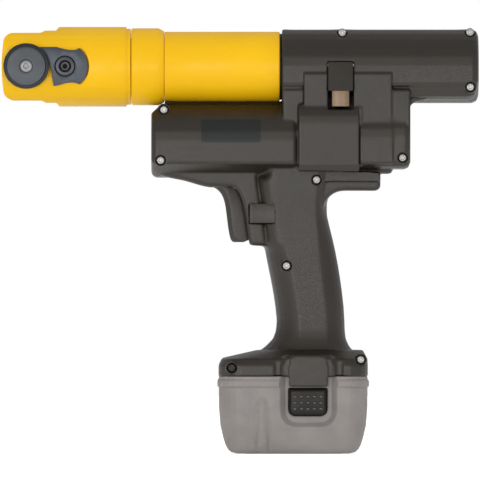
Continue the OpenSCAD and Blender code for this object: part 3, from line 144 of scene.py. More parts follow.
def moulded_plastic(name, colour, grain_mm=0.55, grain=0.3, rough=(0.46, 0.6), specular=0.5):
    """Spark-grained moulding: fine bumps, cloudy tint, lighter specks on the grain as painted
    sparkle, painted highlights on edges, painted shade in creases.
    """
    f = Finish(name)
    cloud = f.noise(14, 3)
    grains = f.noise(grain_mm, 3, 0.6)
    tint = f.ramp(cloud, [(0.3, shade(colour, 0.9)), (0.7, shade(colour, 1.1))])
    # Grain texture whose lighter specks are a painted sparkle, standing in for the grain's glints.
    grain_sparkle = f.spread(grains, 0, 0.3, (0.58, 0.75))
    tint = f.mix(grain_sparkle, tint, shade(colour, 1.9))
    # Painted highlight: convex edges turn lighter. Painted shade: creases turn darker, and their
    # specular level is lowered.
    bend = f.pointiness()
    edge = f.spread(bend, 0, 0.35, EDGE_BEND)
    crease_shade = f.spread(bend, 0.85, 0, CREASE_BEND)
    tint = f.mix(crease_shade, f.mix(edge, tint, shade(colour, 1.8)), shade(colour, 0.2))
    f.set(Base_Color=tint, Roughness=f.spread(grains, *rough),
          Specular_IOR_Level=f.spread(bend, 0.2 * specular, specular, CREASE_BEND),
          Normal=f.bump(grains, grain, 0.12))
    return f.material


def enamel(name, colour, dark_from_mm=None):
    """Stoved enamel with a faint orange peel and painted highlights on its edges, near black behind
    a given station.
    """
    f = Finish(name)
    cloud = f.noise(30, 2)
    peel = f.noise(1.6, 2)
    tint = f.ramp(cloud, [(0.3, shade(colour, 0.96)), (0.7, shade(colour, 1.03))])
    # Painted highlight: convex edges turn lighter yellow.
    edge = f.spread(f.pointiness(), 0, 0.25, PAINT_EDGE_BEND)
    tint = f.mix(edge, tint, shade(colour, 1.25))
    # Near black behind the given station.
    if dark_from_mm is not None:
        along = f.add("ShaderNodeSeparateXYZ", Vector=f.coords).outputs["X"]
        bare = f.spread(along, 0, 1, (dark_from_mm * MM, (dark_from_mm + 0.15) * MM))
        tint = f.mix(bare, tint, srgb(30, 27, 24))
    f.set(Base_Color=tint, Roughness=f.spread(peel, 0.42, 0.52), Specular_IOR_Level=0.22,
          Coat_Weight=0.05, Coat_Roughness=0.2, Normal=f.bump(peel, 0.12, 0.05))
    return f.material


def turned_metal(name, colour, rough=(0.28, 0.42), metallic=1.0, grain_mm=0.4, bump=0.12,
                 specular=0.5, rim=None):
    """Machined or plated metal with fine tool marks.

    A rim is a painted shade: its dark colour, the node it lies on, and the radius in mm about that
    node's cross axis where it starts."""
    f = Finish(name)
    marks = f.noise(grain_mm, 4, 0.65)
    cloud = f.noise(9, 2)
    tint = f.ramp(cloud, [(0.3, shade(colour, 0.88)), (0.7, shade(colour, 1.08))])
    if rim:
        rim_shade, node, start = rim
        low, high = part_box(node)
        place = f.add("ShaderNodeSeparateXYZ", Vector=f.coords)
        flat = f.add("ShaderNodeCombineXYZ", X=place.outputs["X"], Z=place.outputs["Z"])
        radius = f.tree.nodes.new("ShaderNodeVectorMath")
        radius.operation = "DISTANCE"
        f.put(radius, 0, flat.outputs[0])
        f.put(radius, 1, ((low[0] + high[0]) / 2, 0, (low[2] + high[2]) / 2))
        on_rim = f.spread(radius.outputs["Value"], 0, 1, (start * MM, (start + 0.4) * MM))
        tint = f.mix(on_rim, tint, rim_shade)
    f.set(Base_Color=tint, Metallic=metallic, Roughness=f.spread(marks, *rough),
          Specular_IOR_Level=specular, Normal=f.bump(marks, bump, 0.03))
    return f.material


YELLOW_PAINT, BLACK_PLASTIC = srgb(254, 196, 10), srgb(33, 26, 17)
YELLOW = enamel("yellow_enamel", YELLOW_PAINT)
BARREL_YELLOW = enamel("barrel_enamel", YELLOW_PAINT, DARK_NECK_X)
HOUSING = moulded_plastic("housing_moulding", BLACK_PLASTIC, 0.9, 0.45, (0.36, 0.54), 0.5)
COVER = moulded_plastic("cover_moulding", BLACK_PLASTIC, 0.9, 0.45, (0.36, 0.54), 0.47)
BATTERY = moulded_plastic("battery_moulding", srgb(140, 134, 131), 0.5, 0.22)
BUTTON = moulded_plastic("latch_button_moulding", srgb(24, 21, 16), 0.8, 0.1, (0.3, 0.4), 0.22)
BUMP_GLOSS = moulded_plastic("latch_bump_gloss", srgb(40, 37, 30), 0.8, 0.04, (0.14, 0.2), 0.9)
PLATE_FILM = moulded_plastic("bare_plate_film", srgb(24, 27, 26), 1.2, 0.06, (0.4, 0.48), 0.3)
# Painted shade for the socket and the ring groove of the latch screw
PIT_SHADE = turned_metal("painted_pit_shade", srgb(12, 12, 13), (0.55, 0.7), 0, specular=0.15)
PLATE_STEEL = turned_metal("latch_plate_steel", srgb(68, 72, 79), (0.4, 0.52), 0.6)
# Knob steel whose outer ring is painted darker: painted shade of its outward-facing bevel.
KNOB_STEEL = turned_metal("knob_steel", srgb(70, 73, 77), (0.42, 0.54), 0.5,
                          rim=(srgb(44, 46, 49), "bolt_knob", 11.4))
SOCKET_STEEL = turned_metal("socket_steel", srgb(64, 66, 70), (0.34, 0.46), 0.7)
BRIGHT_STEEL = turned_metal("bright_steel", srgb(188, 188, 190))
KNOB_SCREW_STEEL = turned_metal("knob_screw_steel", srgb(128, 128, 128), (0.36, 0.5), 0.8, 0.9, 0.3)
SCREW_STEEL = turned_metal("screw_steel", srgb(170, 169, 166), (0.36, 0.52), 0.8, 0.9, 0.3)
# Painted shade: the screw sunk deep in its bore is coloured dark
SUNK_SCREW_SHADE = turned_metal("sunk_screw_painted_shade", srgb(46, 43, 40), (0.4, 0.55), 0.5, 0.9, 0.3)
DARK_STEEL = turned_metal("dark_steel", srgb(96, 97, 100), (0.36, 0.5), 0.9)
BRONZE = turned_metal("bronze", srgb(178, 150, 104))
TONGUE = turned_metal("tongue_steel", srgb(112, 94, 77), (0.36, 0.5), 0.8)
RUBBER = moulded_plastic("rubber", srgb(40, 36, 31), 0.7, 0.2, (0.62, 0.76), 0.35)
INNER = moulded_plastic("inner_moulding", srgb(34, 33, 33))
COPPER = turned_metal("copper_winding", srgb(190, 120, 72), (0.3, 0.45))
CELL_WRAP = moulded_plastic("cell_wrap", srgb(70, 96, 132), 1.2, 0.08, (0.3, 0.4))
BOARD = moulded_plastic("board_lacquer", srgb(24, 92, 52), 0.9, 0.1, (0.25, 0.35))

# Nodes shown as packed that aren't bright steel
NODE_FINISH = {
    YELLOW: ("fork", "swivel_collar", "swivel_ring"),
    BARREL_YELLOW: ("barrel_sleeve",),
    BATTERY: ("battery_lid",),
    KNOB_STEEL: ("bolt_knob",),
    DARK_STEEL: ("ram_head", "planet_carrier", "motor_can"),
    BRONZE: ("cylinder_gland", "battery_terminals"),
    TONGUE: ("reset_lever",),
    RUBBER: ("rod_seal", "oil_reservoir", "piston_seal"),
    INNER: ("valve_block", "gearbox_flange", "switch_module", "contact_block", "cell_holder"),
    COPPER: ("armature",),
    CELL_WRAP: ("battery_cells",),
    BOARD: ("control_board",),
}


# Rounded shading and small edge breaks

SHARP = math.radians(32)
FLAT = math.radians(2)


def smooth_by_angle(name, angle):
    """Node group that shades smooth up to an angle between faces."""
    group = bpy.data.node_groups.new(name, "GeometryNodeTree")
    for way in ("INPUT", "OUTPUT"):
        group.interface.new_socket("Geometry", in_out=way, socket_type="NodeSocketGeometry")
    new, link = group.nodes.new, group.links.new
    start, end = new("NodeGroupInput"), new("NodeGroupOutput")
    plain = new("GeometryNodeRemoveAttribute")
    plain.inputs["Name"].default_value = "custom_normal"
    soft = new("GeometryNodeSetShadeSmooth")
    soft.domain = "FACE"
    hard = new("GeometryNodeSetShadeSmooth")
    hard.domain = "EDGE"
    hard.inputs["Shade Smooth"].default_value = False
    bend = new("GeometryNodeInputMeshEdgeAngle")
    over = new("FunctionNodeCompare")
    over.operation = "GREATER_THAN"
    over.inputs["B"].default_value = angle
    link(start.outputs[0], plain.inputs["Geometry"])
    link(plain.outputs["Geometry"], soft.inputs["Geometry"])
    link(soft.outputs["Geometry"], hard.inputs["Geometry"])
    link(bend.outputs["Unsigned Angle"], over.inputs["A"])
    link(over.outputs["Result"], hard.inputs["Selection"])
    link(hard.outputs["Geometry"], end.inputs[0])
    return group


SOFT_SHADING = smooth_by_angle("soft_shading", SHARP)


def finish_edges(obj, break_mm=0.0, segments=2):
    """Break the sharp edges of a piece and shade it."""
    if break_mm:
        rim = obj.modifiers.new("edge_break", "BEVEL")
        rim.width = break_mm * MM
        rim.segments = segments
        rim.limit_method = "ANGLE"
        rim.angle_limit = SHARP
        rim.use_clamp_overlap = True
    shade_it = obj.modifiers.new("soft_shading", "NODES")
    shade_it.node_group = SOFT_SHADING


# Edge breaks of the nodes shown as packed, in mm
EDGE_BREAK = {"fork": 0.5, "bolt_knob": 0.15, "reset_lever": 0.25, "ram_head": 0.5,
              "tong_bolt": 0.4, "swivel_collar": 0.2, "barrel_sleeve": 0.2, "battery_lid": 0.3}

for name, obj in NODES.items():
    join = obj.modifiers.new("join", "WELD")
    join.merge_threshold = 0.004 * MM
    finish_edges(obj, EDGE_BREAK.get(name, 0))
    obj.data.materials.clear()
    obj.data.materials.append(BRIGHT_STEEL)
for material, names in NODE_FINISH.items():
    for name in names:
        NODES[name].data.materials[0] = material


# Ways of making a piece

def merged_copy(node, flat_faces=False):
    """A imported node's shape with its loose triangles joined, into whole flat faces if wanted."""
    bm = bmesh.new()
    bm.from_mesh(NODES[node].data)
    bmesh.ops.remove_doubles(bm, verts=bm.verts, dist=0.003 * MM)
    if flat_faces:
        bmesh.ops.dissolve_limit(bm, angle_limit=FLAT, verts=bm.verts, edges=bm.edges)
    return bm


def separate_shapes(bm):
    """Groups of vertices that touch no other group, such as the screws of one node."""
    groups, seen = [], set()
    for start in bm.verts:
        if start in seen:
            continue
        seen.add(start)
        group = [start]
        for vert in group:
            for edge in vert.link_edges:
                other = edge.other_vert(vert)
                if other not in seen:
                    seen.add(other)
                    group.append(other)
        groups.append(group)
    return groups


def reach(verts):
    """Lowest and highest corner of some vertices."""
    low = Vector(min(v.co[k] for v in verts) for k in range(3))
    high = Vector(max(v.co[k] for v in verts) for k in range(3))
    return low, high


def node_box(node):
    return tuple(Vector(corner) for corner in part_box(node))


def cut_across(bm, axis, place):
    """Cut every face that a plane square to an axis meets."""
    normal = Vector((0, 0, 0))
    normal[axis] = 1
    bmesh.ops.bisect_plane(bm, geom=bm.verts[:] + bm.edges[:] + bm.faces[:],
                           plane_co=normal * place, plane_no=normal)


def round_edges(bm, edges, offset_mm, segments=3):
    bmesh.ops.bevel(bm, geom=edges, offset=offset_mm * MM, segments=segments, profile=0.5,
                    affect="EDGES", material=-1)


def link_piece(name, bm_or_mesh, material, body, slot, *replaced):
    """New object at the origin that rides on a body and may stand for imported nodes."""
    mesh = bm_or_mesh
    if isinstance(bm_or_mesh, bmesh.types.BMesh):
        mesh = bpy.data.meshes.new(name)
        bm_or_mesh.to_mesh(mesh)
        bm_or_mesh.free()
    obj = bpy.data.objects.new(name, mesh)
    SCENE.collection.objects.link(obj)
    mesh.materials.append(material)
    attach(obj, body)
    if replaced:
        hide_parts(*replaced)
    return obj


TO_LEFT = Matrix.Rotation(math.radians(90), 4, "X")
TO_FLOOR = Matrix.Rotation(math.radians(180), 4, "X")
DARK_RING_DEPTH = 3


def turned(bm, profile, place, turn, steps, recess_r, recess, dark_rings=()):
    """Turned piece from (radius, height) points in mm, its recess given a driver's outline.

    Faces near the top whose middle lies between the radii of a dark ring take the piece's second
    material, a painted shade."""
    before = set(bm.verts)
    line = [bm.verts.new((r * MM, 0, h * MM)) for r, h in profile]
    edges = [bm.edges.new(pair) for pair in zip(line, line[1:])]
    bmesh.ops.spin(bm, geom=line + edges, cent=(0, 0, 0), axis=(0, 0, 1), angle=2 * math.pi,
                   steps=steps, use_merge=True)
    made = [v for v in bm.verts if v not in before]
    bmesh.ops.remove_doubles(bm, verts=made, dist=0.002 * MM)
    made = [v for v in bm.verts if v not in before]
    recess_floor = -2.2 * recess_r
    for v in made:
        r = math.hypot(v.co.x, v.co.y)
        if 0.01 * MM < r < recess_r * MM and v.co.z > recess_floor * MM:
            k = recess(math.atan2(v.co.y, v.co.x))
            v.co.x *= k
            v.co.y *= k
    faces = list({f for v in made for f in v.link_faces})
    bmesh.ops.recalc_face_normals(bm, faces=faces)
    for f in faces:
        middle = f.calc_center_median()
        r = math.hypot(middle.x, middle.y) / MM
        if middle.z > -DARK_RING_DEPTH * MM and any(r0 < r < r1 for r0, r1 in dark_rings):
            f.material_index = 1
    bmesh.ops.transform(bm, matrix=Matrix.Translation(place) @ turn, verts=made)


def six_lobes(angle):
    return 1 + 0.16 * math.cos(6 * angle)


def six_flats(angle):
    step = math.radians(60)
    return math.cos(step / 2) / math.cos((angle + step / 2) % step - step / 2)


# Mouldings with soft edges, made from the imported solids

WEIGHT_STEPS = 8


def shaped(name, mesh, *modifiers):
    """Mesh that some modifiers make of another mesh; a modifier is (kind, settings, weights)."""
    form = bpy.data.objects.new(name, mesh)
    SCENE.collection.objects.link(form)
    for kind, settings, weights in modifiers:
        tool = form.modifiers.new(kind.lower(), kind)
        for key, value in settings.items():
            setattr(tool, key, value)
        if weights is not None:
            group = form.vertex_groups.new(name=kind.lower())
            tool.vertex_group = group.name
            steps = np.rint(weights * WEIGHT_STEPS).astype(int)
            for step in range(1, WEIGHT_STEPS + 1):
                members = np.flatnonzero(steps == step).tolist()
                group.add(members, step / WEIGHT_STEPS, "REPLACE")
    depsgraph = bpy.context.evaluated_depsgraph_get()
    made = bpy.data.meshes.new_from_object(form.evaluated_get(depsgraph))
    bpy.data.objects.remove(form)
    bpy.data.meshes.remove(mesh)
    made.name = name
    return made


def vertex_table(mesh):
    """Flat list of a mesh's coordinates in m, with its x, y and z in mm."""
    co = np.empty(len(mesh.vertices) * 3)
    mesh.vertices.foreach_get("co", co)
    return co, co[0::3] / MM, co[1::3] / MM, co[2::3] / MM


def outward(mesh, y):
    """How far each vertex's normal points away from the tool's middle plane."""
    normals = np.empty(len(mesh.vertices) * 3)
    mesh.vertex_normals.foreach_get("vector", normals)
    return normals[1::3] * np.sign(y)


def put_vertices(mesh, co):
    mesh.vertices.foreach_set("co", co)
    mesh.update()


CRISP_FADE = 3


def zone_weights(mesh, zones, crisp):
    """How far each vertex lies in the soft zones, less the crisp round spots.

    A zone is a box in x and z with a fade, in mm, and its greatest weight."""
    _, x, _, z = vertex_table(mesh)
    weights = np.zeros(len(x))
    for x0, x1, z0, z1, fade, most in zones:
        depth = np.minimum(np.minimum(x - x0, x1 - x), np.minimum(z - z0, z1 - z))
        weights = np.maximum(weights, most * np.clip(depth / fade, 0, 1))
    for spot_x, spot_z, radius in crisp:
        past_rim = np.hypot(x - spot_x, z - spot_z) - radius
        weights *= np.clip(past_rim / CRISP_FADE, 0, 1)
    return weights


# The valley by height: the frame's rear edge, where the grip's flank starts, its half width
VALLEY_Z = (122, 138, 152, 158, 166, 171)
FRAME_REAR_X = (-15.6, -17.6, -19.8, -20.7, -21.8, -22.4)
FLANK_X = (-3.5, -6, -8.5, -9.6, -10.4, -11)
FLANK_Y = (17.5, 18.1, 19.1, 19.6, 20, 20.1)
VALLEY_FLOOR_Y = 12.2
VALLEY_FADE = 5
HOUSING_WALL = 2.2


def slope_valley(mesh):
    """Make the valley's side one soft slope from the frame's rear edge to the grip's flank."""
    co, x, y, z = vertex_table(mesh)
    edge_x = np.interp(z, VALLEY_Z, FRAME_REAR_X)
    flank_x = np.interp(z, VALLEY_Z, FLANK_X)
    share = (x - edge_x) / (flank_x - edge_x)
    rise = 1 - (1 - np.clip(share, 0, 1)) ** 3
    slope = VALLEY_FLOOR_Y + (np.interp(z, VALLEY_Z, FLANK_Y) - VALLEY_FLOOR_Y) * rise
    slope -= np.where(outward(mesh, y) < 0, HOUSING_WALL, 0)
    ends = np.clip(np.minimum(z - VALLEY_Z[0], VALLEY_Z[-1] - z) / VALLEY_FADE, 0, 1)
    amount = np.where((share > 0) & (share < 1), ends, 0)
    depth = abs(y) + (slope - abs(y)) * amount
    co[1::3] = np.copysign(depth, y) * MM
    put_vertices(mesh, co)


RIB_X, RIB_HALF, RIB_RISE = -19.2, 5.0, 0.9
RIB_LOW_Z, RIB_HIGH_Z = 2.2, 33.2
CASE_SIDE_Y = 30


def raise_rib(mesh):
    """Raise the spindle-shaped rib on both long sides of the battery case."""
    co, x, y, z = vertex_table(mesh)
    along = abs(2 * (z - RIB_LOW_Z) / (RIB_HIGH_Z - RIB_LOW_Z) - 1)
    half = RIB_HALF * np.sqrt(np.clip(1 - along ** 3, 0.0001, 1))
    round_top = np.sqrt(np.clip(1 - ((x - RIB_X) / half) ** 2, 0, 1))
    rise = RIB_RISE * round_top * np.clip(4 * (1 - along), 0, 1)
    outside = (outward(mesh, y) > 0.3) & (abs(y) > CASE_SIDE_Y)
    co[1::3] += np.where(outside, np.copysign(rise, y), 0) * MM
    put_vertices(mesh, co)


def remoulded(node, voxel_mm, keep, material, body, slot, softening, crisp=(), reshape=None):
    """Moulding with the node's shape, its edges and steps rounded as a mould rounds them.

    Softening lists (smoothing passes, zones) that round the form further, after a reshaping."""
    def smoothing(passes, weights=None):
        return "SMOOTH", {"factor": 0.5, "iterations": passes}, weights

    rough = bpy.data.meshes.new(node + "_rough")
    bm = merged_copy(node)
    bm.to_mesh(rough)
    bm.free()
    voxels = {"mode": "VOXEL", "voxel_size": voxel_mm * MM, "use_smooth_shade": True}
    mesh = shaped(node + "_moulding", rough, ("REMESH", voxels, None), smoothing(2))
    if reshape:
        reshape(mesh)
    soft = [smoothing(passes, zone_weights(mesh, zones, crisp)) for passes, zones in softening]
    mesh = shaped(node + "_moulding", mesh, *soft, ("DECIMATE", {"ratio": keep}, None))
    return link_piece(node + "_moulding", mesh, material, body, slot, node)


# Soft zones: low and high x, low and high z, fade, greatest weight
GRIP_AND_FOOT = ((-27, 46, 64, 166, 6, 1), (-52, -14, 49.5, 68, 4, 0.8),
                 (32, 52, 49.5, 68, 4, 0.8), (-14, 32, 56, 70, 4, 0.5),
                 (-14, -4, 46, 60, 2.5, 0.7), (23.5, 33.5, 46, 60, 2.5, 0.7))
ROUND_TOPS = ((-4, 110, 238, 262, 3, 0.9), (-83, 0, 187, 215, 3, 0.9), (42, 69, 184, 207, 3, 0.8))
VALLEY = ((-25.5, -9.5, 146, 177, 2.5, 1), (-22, -9, 118, 140, 2.5, 1))
COVER_TOP = ((5, 38, 188, 218, 2, 0.9),)
BATTERY_RIB = ((-27, -11, -2, 39, 3, 0.9),)

# Screw seats and the cross button's hole: x, z, radius
CRISP_SPOTS = ((14.2, 165.8, 5), (-4, 113.6, 5), (-37.2, 52, 5), (40.8, 56.9, 5), (-24, 145, 6),
               (-14, 145, 6), (29.9, 255.1, 5), (107.2, 255.6, 5), (-78.2, 208.7, 5),
               (66.3, 179.2, 5))

halves = {}
for half in ("left_housing", "right_housing"):
    halves[half] = remoulded(half, 0.55, 0.2, HOUSING, "housing", "housing_plastic",
                             ((40, GRIP_AND_FOOT + ROUND_TOPS), (30, VALLEY)), CRISP_SPOTS,
                             slope_valley)
for cover in ("left_side_cover", "right_side_cover"):
    remoulded(cover, 0.4, 0.5, COVER, "housing", "cover_plastic", ((60, COVER_TOP),))
remoulded("battery_case", 0.5, 0.2, BATTERY, "battery", "battery_plastic", ((6, BATTERY_RIB),),
          reshape=raise_rib)


# Bare name plate on the motor body

def bare_plate(carrier):
    """Thin film with rounded corners that lies on the flank of the motor body."""
    corner_r, bands, thickness, sunk = 1.3, 14, 0.22, 0.02
    outside_y = -0.1
    ground = bmesh.new()
    ground.from_mesh(carrier.data)
    flank = BVHTree.FromBMesh(ground)
    ground.free()
    bm = bmesh.new()
    (x0, z0), (x1, z1) = PLATE_LOW, PLATE_HIGH
    outline = ((x0, z0), (x1, z0), (x1, z1), (x0, z1))
    corners = [bm.verts.new((x * MM, outside_y, z * MM)) for x, z in outline]
    bm.faces.new(corners)
    bmesh.ops.bevel(bm, geom=corners, offset=corner_r * MM, segments=4, profile=0.5,
                    affect="VERTICES", material=-1)
    for k in range(1, bands):
        cut_across(bm, 2, (z0 + (z1 - z0) * k / bands) * MM)
    for v in bm.verts:
        hit = flank.ray_cast(v.co, Vector((0, 1, 0)))[0]
        v.co.y = hit.y - sunk * MM
    bmesh.ops.recalc_face_normals(bm, faces=bm.faces)
    if sum(f.normal.y for f in bm.faces) > 0:
        bmesh.ops.reverse_faces(bm, faces=bm.faces)
    bmesh.ops.solidify(bm, geom=bm.faces[:], thickness=-thickness * MM)
    bmesh.ops.recalc_face_normals(bm, faces=bm.faces)
    finish_edges(link_piece("bare_plate", bm, PLATE_FILM, "housing", "cover_plastic"))


bare_plate(halves["left_housing"])


# Screws with driver recesses

def screw_set(node, name, turn, along, body):
    """Each screw of a node with a domed head and a six-lobed recess; the sunk one is painted dark,
    a painted shade for its deep bore.
    """
    shank_r, sunk_within = 1.5, 4
    old = merged_copy(node)
    sites = [reach(group) for group in separate_shapes(old)]
    old.free()
    bm = bmesh.new()
    for low, high in sites:
        middle = (low + high) / 2
        head_r = (high.x - low.x) / 2 / MM
        length = (high - low)[along] / MM
        face = middle.copy()
        face[along] = low[along]
        profile = [(0, -1.3), (0.42 * head_r, -1.3), (0.46 * head_r, -0.12), (0.52 * head_r, 0),
                   (0.7 * head_r, -0.04), (0.86 * head_r, -0.22), (0.97 * head_r, -0.6),
                   (head_r, -1.0), (head_r, -1.3), (shank_r, -2.0), (shank_r, 1.4 - length),
                   (0.8, -length), (0, -length)]
        sunk = math.dist((middle.x / MM, middle.z / MM), SUNK_SITE) < sunk_within
        turned(bm, profile, face, turn, 36, 0.5 * head_r, six_lobes,
               ((0, 2 * head_r),) if sunk else ())
    screws = link_piece(name, bm, SCREW_STEEL, body, "steel", node)
    screws.data.materials.append(SUNK_SCREW_SHADE)
    finish_edges(screws)


screw_set("housing_screws", "housing_screw_set", TO_LEFT, 1, "housing")
screw_set("battery_screws", "battery_screw_set", TO_FLOOR, 2, "battery")


def head_place(node):
    """Middle of a cross screw's face on the left, and the screw's length in mm."""
    low, high = node_box(node)
    middle = (low + high) / 2
    return (middle.x, low.y, middle.z), (high.y - low.y) / MM


def knob_screw():
    place, length = head_place("bolt_screw")
    bm = bmesh.new()
    profile = [(0, -1.4), (1.4, -1.4), (1.55, -0.15), (1.75, 0), (2.6, -0.02), (3.3, -0.14),
               (3.7, -0.42), (3.8, -0.8), (3.8, -1.8), (2.5, -1.8), (2.5, 1 - length),
               (1.6, -length), (0, -length)]
    turned(bm, profile, place, TO_LEFT, 48, 1.7, six_lobes)
    finish_edges(link_piece("knob_screw", bm, KNOB_SCREW_STEEL, "bolt", "steel", "bolt_screw"))


knob_screw()


def latch_pivot_screw():
    """Socket screw with stepped rings, sunk in the latch plate."""
    place, length = head_place("latch_screw")
    bm = bmesh.new()
    profile = [(0, -1.7), (1.35, -1.7), (1.5, -0.3), (1.75, -0.12), (2.35, -0.12), (2.7, -0.4),
               (2.75, -1.2), (3.6, -1.2), (3.65, -0.2), (3.9, 0), (5.3, 0), (5.6, -0.08),
               (5.8, -0.4), (5.8, -1.7), (4, -1.7), (4, 0.6 - length), (3.4, -length), (0, -length)]
    # Dark rings in the socket and the groove: painted shade.
    turned(bm, profile, place, TO_LEFT, 48, 1.6, six_flats, ((0, 1.5), (2.55, 3.75)))
    screw = link_piece("latch_pivot_screw", bm, SOCKET_STEEL, "press_head", "dark_steel",
                       "latch_screw")
    screw.data.materials.append(PIT_SHADE)
    finish_edges(screw)


latch_pivot_screw()


# Latch plate

def broken_plate():
    """Latch plate with its flat faces whole and its edges broken."""
    bm = merged_copy("latch_plate", flat_faces=True)
    plate = link_piece("broken_plate", bm, PLATE_STEEL, "latch", "dark_steel", "latch_plate")
    finish_edges(plate, 0.45)


broken_plate()


# Trigger

def rimmed_trigger():
    """Trigger with a broad rim along its front edge, up to a little below its pin."""
    rim_mm, plain_top = 2.6, 6.5
    bm = merged_copy("trigger", flat_faces=True)
    rim_end_z = reach(bm.verts)[1].z - plain_top * MM

    def on_front(edge):
        flats = [f for f in edge.link_faces if abs(f.normal.y) > 0.99]
        sides = [f for f in edge.link_faces if abs(f.normal.y) < 0.1 and f.normal.x < -0.3]
        middle = (edge.verts[0].co + edge.verts[1].co) / 2
        return flats and sides and middle.z < rim_end_z

    round_edges(bm, [e for e in bm.edges if on_front(e)], rim_mm, 1)
    trigger = link_piece("rimmed_trigger", bm, HOUSING, "trigger_lever", "housing_plastic",
                         "trigger")
    finish_edges(trigger, 0.3)


rimmed_trigger()


# Cross button

SWING_Y = 11.8  # half width of the room for the trigger's swing, with the button pushed either way
SWING_DEPTH = 5
SWING_WALL = 0.05


def lock_button():
    """Button through the frame whose two faces run into the grip's flanks at its rear end.

    Its middle stands back behind the trigger."""
    low, high = node_box("cross_button")
    gap, under, rise = 0.22 * MM, 2.6 * MM, 0.9 * MM
    bands, flat_share = 9, 0.4
    front_x, rear_x = low.x, high.x + under
    bm = bmesh.new()
    bmesh.ops.create_cube(bm, size=1)
    for v in bm.verts:
        v.co.x = rear_x if v.co.x > 0 else front_x
        v.co.y = high.y if v.co.y > 0 else low.y
        v.co.z = high.z + gap if v.co.z > 0 else low.z - gap
    rims = [e for e in bm.edges if abs(e.verts[0].co.y - e.verts[1].co.y) < 0.01 * MM
            and min(v.co.x for v in e.verts) < rear_x - MM]
    round_edges(bm, rims, 0.5)
    for y in (-SWING_Y - SWING_WALL, -SWING_Y, SWING_Y, SWING_Y + SWING_WALL):
        cut_across(bm, 1, y * MM)
    for v in bm.verts:
        if abs(v.co.y) < (SWING_Y + SWING_WALL / 2) * MM and v.co.x < front_x + MM:
            v.co.x = front_x + SWING_DEPTH * MM
    for k in range(1, bands):
        cut_across(bm, 0, front_x + (rear_x - front_x) * k / bands)
    for v in bm.verts:
        share = (v.co.x - front_x) / (rear_x - front_x)
        share = max(0, share - flat_share) / (1 - flat_share)
        v.co.y += math.copysign(rise * share * share, v.co.y)
    bmesh.ops.recalc_face_normals(bm, faces=bm.faces)
    finish_edges(link_piece("lock_button", bm, HOUSING, "button", "housing_plastic",
                            "cross_button"))


lock_button()


# Reset lever's pad

def lever_pad():
    """Matt pad, thick at its lower end, that fills its slot but for a running gap."""
    low, high = node_box("reset_pad")
    side, rise, thin_top = 0.25 * MM, 1.5 * MM, 0.7 * MM
    bm = bmesh.new()
    bmesh.ops.create_cube(bm, size=1)
    for v in bm.verts:
        at_top, at_front = v.co.z > 0, v.co.y < 0
        v.co.x = low.x - side if v.co.x < 0 else high.x + side
        v.co.z = high.z + rise if at_top else low.z
        v.co.y = high.y if not at_front else (high.y - thin_top if at_top else low.y)
    front = [e for e in bm.edges if not all(abs(v.co.y - high.y) < 0.01 * MM for v in e.verts)]
    bmesh.ops.bevel(bm, geom=front, offset=0.6 * MM, segments=3, profile=0.5, affect="EDGES",
                    material=-1, clamp_overlap=True)
    bmesh.ops.recalc_face_normals(bm, faces=bm.faces)
    finish_edges(link_piece("lever_pad", bm, RUBBER, "reset", "rubber", "reset_pad"))


lever_pad()


# Latch buttons with finger bumps

def bumped_latch(node, body, side):
    """Matt button with three rows of small glossy bumps, side -1 on the left and 1 on the right."""
    rows, columns = 3, 5
    column_pitch, row_pitch, first_row = 3.9, 3.7, 3.4
    bump_form = (1.25, 0.8, 0.85)
    bm = merged_copy(node, flat_faces=True)
    faces = [f for f in bm.faces if f.normal.y * side > 0.99]
    front = max(faces, key=lambda f: f.calc_center_median().y * side)
    low, high = reach(front.verts)
    mid_x, face_y = (low.x + high.x) / 2, front.calc_center_median().y
    for row in range(rows):
        for column in range(columns):
            bump = bmesh.ops.create_icosphere(bm, subdivisions=2, radius=MM)["verts"]
            bmesh.ops.scale(bm, verts=bump, vec=bump_form)
            spot = (mid_x + (column - columns // 2) * column_pitch * MM, face_y,
                    high.z - (first_row + row * row_pitch) * MM)
            bmesh.ops.translate(bm, verts=bump, vec=spot)
            for face in {f for v in bump for f in v.link_faces}:
                face.material_index = 1
    latch = link_piece(node + "_button", bm, BUTTON, body, "cover_plastic", node)
    latch.data.materials.append(BUMP_GLOSS)
    finish_edges(latch, 0.8, segments=3)


bumped_latch("left_latch", "latch_l", -1)
bumped_latch("right_latch", "latch_r", 1)


# Springs

def coil(node, name, body):
    """Spring copied from its node, with a mesh of its own, riding on a body."""
    bm = merged_copy(node)
    spring = link_piece(name, bm, BRIGHT_STEEL, body, "steel", node)
    finish_edges(spring)
    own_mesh(spring)


coil("return_spring", "return_coil", "housing")
coil("trigger_spring", "trigger_coil", "housing")
coil("left_latch_spring", "left_latch_coil", "battery")
coil("right_latch_spring", "right_latch_coil", "battery")


# Studio, in m and W

WHITE = (1, 1, 1, 1)
ROOM_LIGHT = 0.64
TOOL_MIDDLE = (-0.03, 0, 0.14)
VIEW_MIDDLE = Vector((-0.0322, 0, 0.1293))
VIEW_WIDTH, CAMERA_DISTANCE = 0.2918, 6.0
BOX_SIZE = 0.5


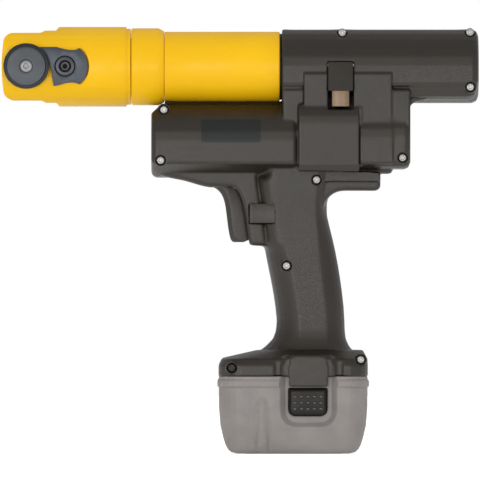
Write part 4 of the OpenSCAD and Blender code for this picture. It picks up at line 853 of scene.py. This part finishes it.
def studio_floor():
    """White floor that takes the tool's shadow and meets the white background without a line."""
    half_width, below, glow = 2.2, 0.3 * MM, 0.8
    bm = bmesh.new()
    bmesh.ops.create_grid(bm, x_segments=2, y_segments=2, size=half_width)
    bmesh.ops.translate(bm, verts=bm.verts, vec=(0, 0, -below))
    mesh = bpy.data.meshes.new("studio_floor")
    bm.to_mesh(mesh)
    bm.free()
    floor = bpy.data.objects.new("studio_floor", mesh)
    SCENE.collection.objects.link(floor)
    f = Finish("white_floor")
    rays = f.add("ShaderNodeLightPath")
    seen = f.add("ShaderNodeMath")
    seen.operation = "MAXIMUM"
    f.put(seen, 0, rays.outputs["Is Camera Ray"])
    f.put(seen, 1, rays.outputs["Is Glossy Ray"])
    f.set(Base_Color=(0.9, 0.9, 0.9, 1), Roughness=0.9, Emission_Color=WHITE,
          Emission_Strength=f.spread(seen.outputs[0], 0, glow, (0, 1)))
    mesh.materials.append(f.material)


def soft_box(name, place, power):
    lamp = bpy.data.lights.new(name, "AREA")
    lamp.shape = "RECTANGLE"
    lamp.size = lamp.size_y = BOX_SIZE
    lamp.energy = power
    box = bpy.data.objects.new(name, lamp)
    box.location = place
    aim = Vector(TOOL_MIDDLE) - Vector(place)
    box.rotation_euler = aim.to_track_quat("-Z", "Y").to_euler()
    SCENE.collection.objects.link(box)


def studio_world():
    """White background for the camera and an even, slightly dimmer room for the object."""
    world = bpy.data.worlds.new("studio")
    SCENE.world = world
    world.use_nodes = True
    nodes, links = world.node_tree.nodes, world.node_tree.links
    rays = nodes.new("ShaderNodeLightPath")
    tone = nodes.new("ShaderNodeMix")
    links.new(rays.outputs["Is Camera Ray"], tone.inputs[0])
    tone.inputs[2].default_value, tone.inputs[3].default_value = ROOM_LIGHT, 1
    links.new(tone.outputs[0], nodes["Background"].inputs["Strength"])
    nodes["Background"].inputs["Color"].default_value = WHITE


def studio_camera():
    """Long lens at the height of the tool's middle, square to its left side."""
    lens = bpy.data.cameras.new("side_camera")
    lens.sensor_width = 36
    lens.lens = lens.sensor_width * CAMERA_DISTANCE / VIEW_WIDTH
    lens.clip_end = 30
    camera = bpy.data.objects.new("side_camera", lens)
    camera.location = VIEW_MIDDLE + Vector((0, -CAMERA_DISTANCE, 0))
    camera.rotation_euler = (math.radians(90), 0, 0)
    SCENE.collection.objects.link(camera)
    SCENE.camera = camera


studio_floor()
studio_world()
studio_camera()
soft_box("left_box", (-0.5, -1.6, 0.12), 8.2)
soft_box("right_box", (0.39, -1.6, 0.1), 5.2)
SCENE.view_settings.view_transform = "Standard"
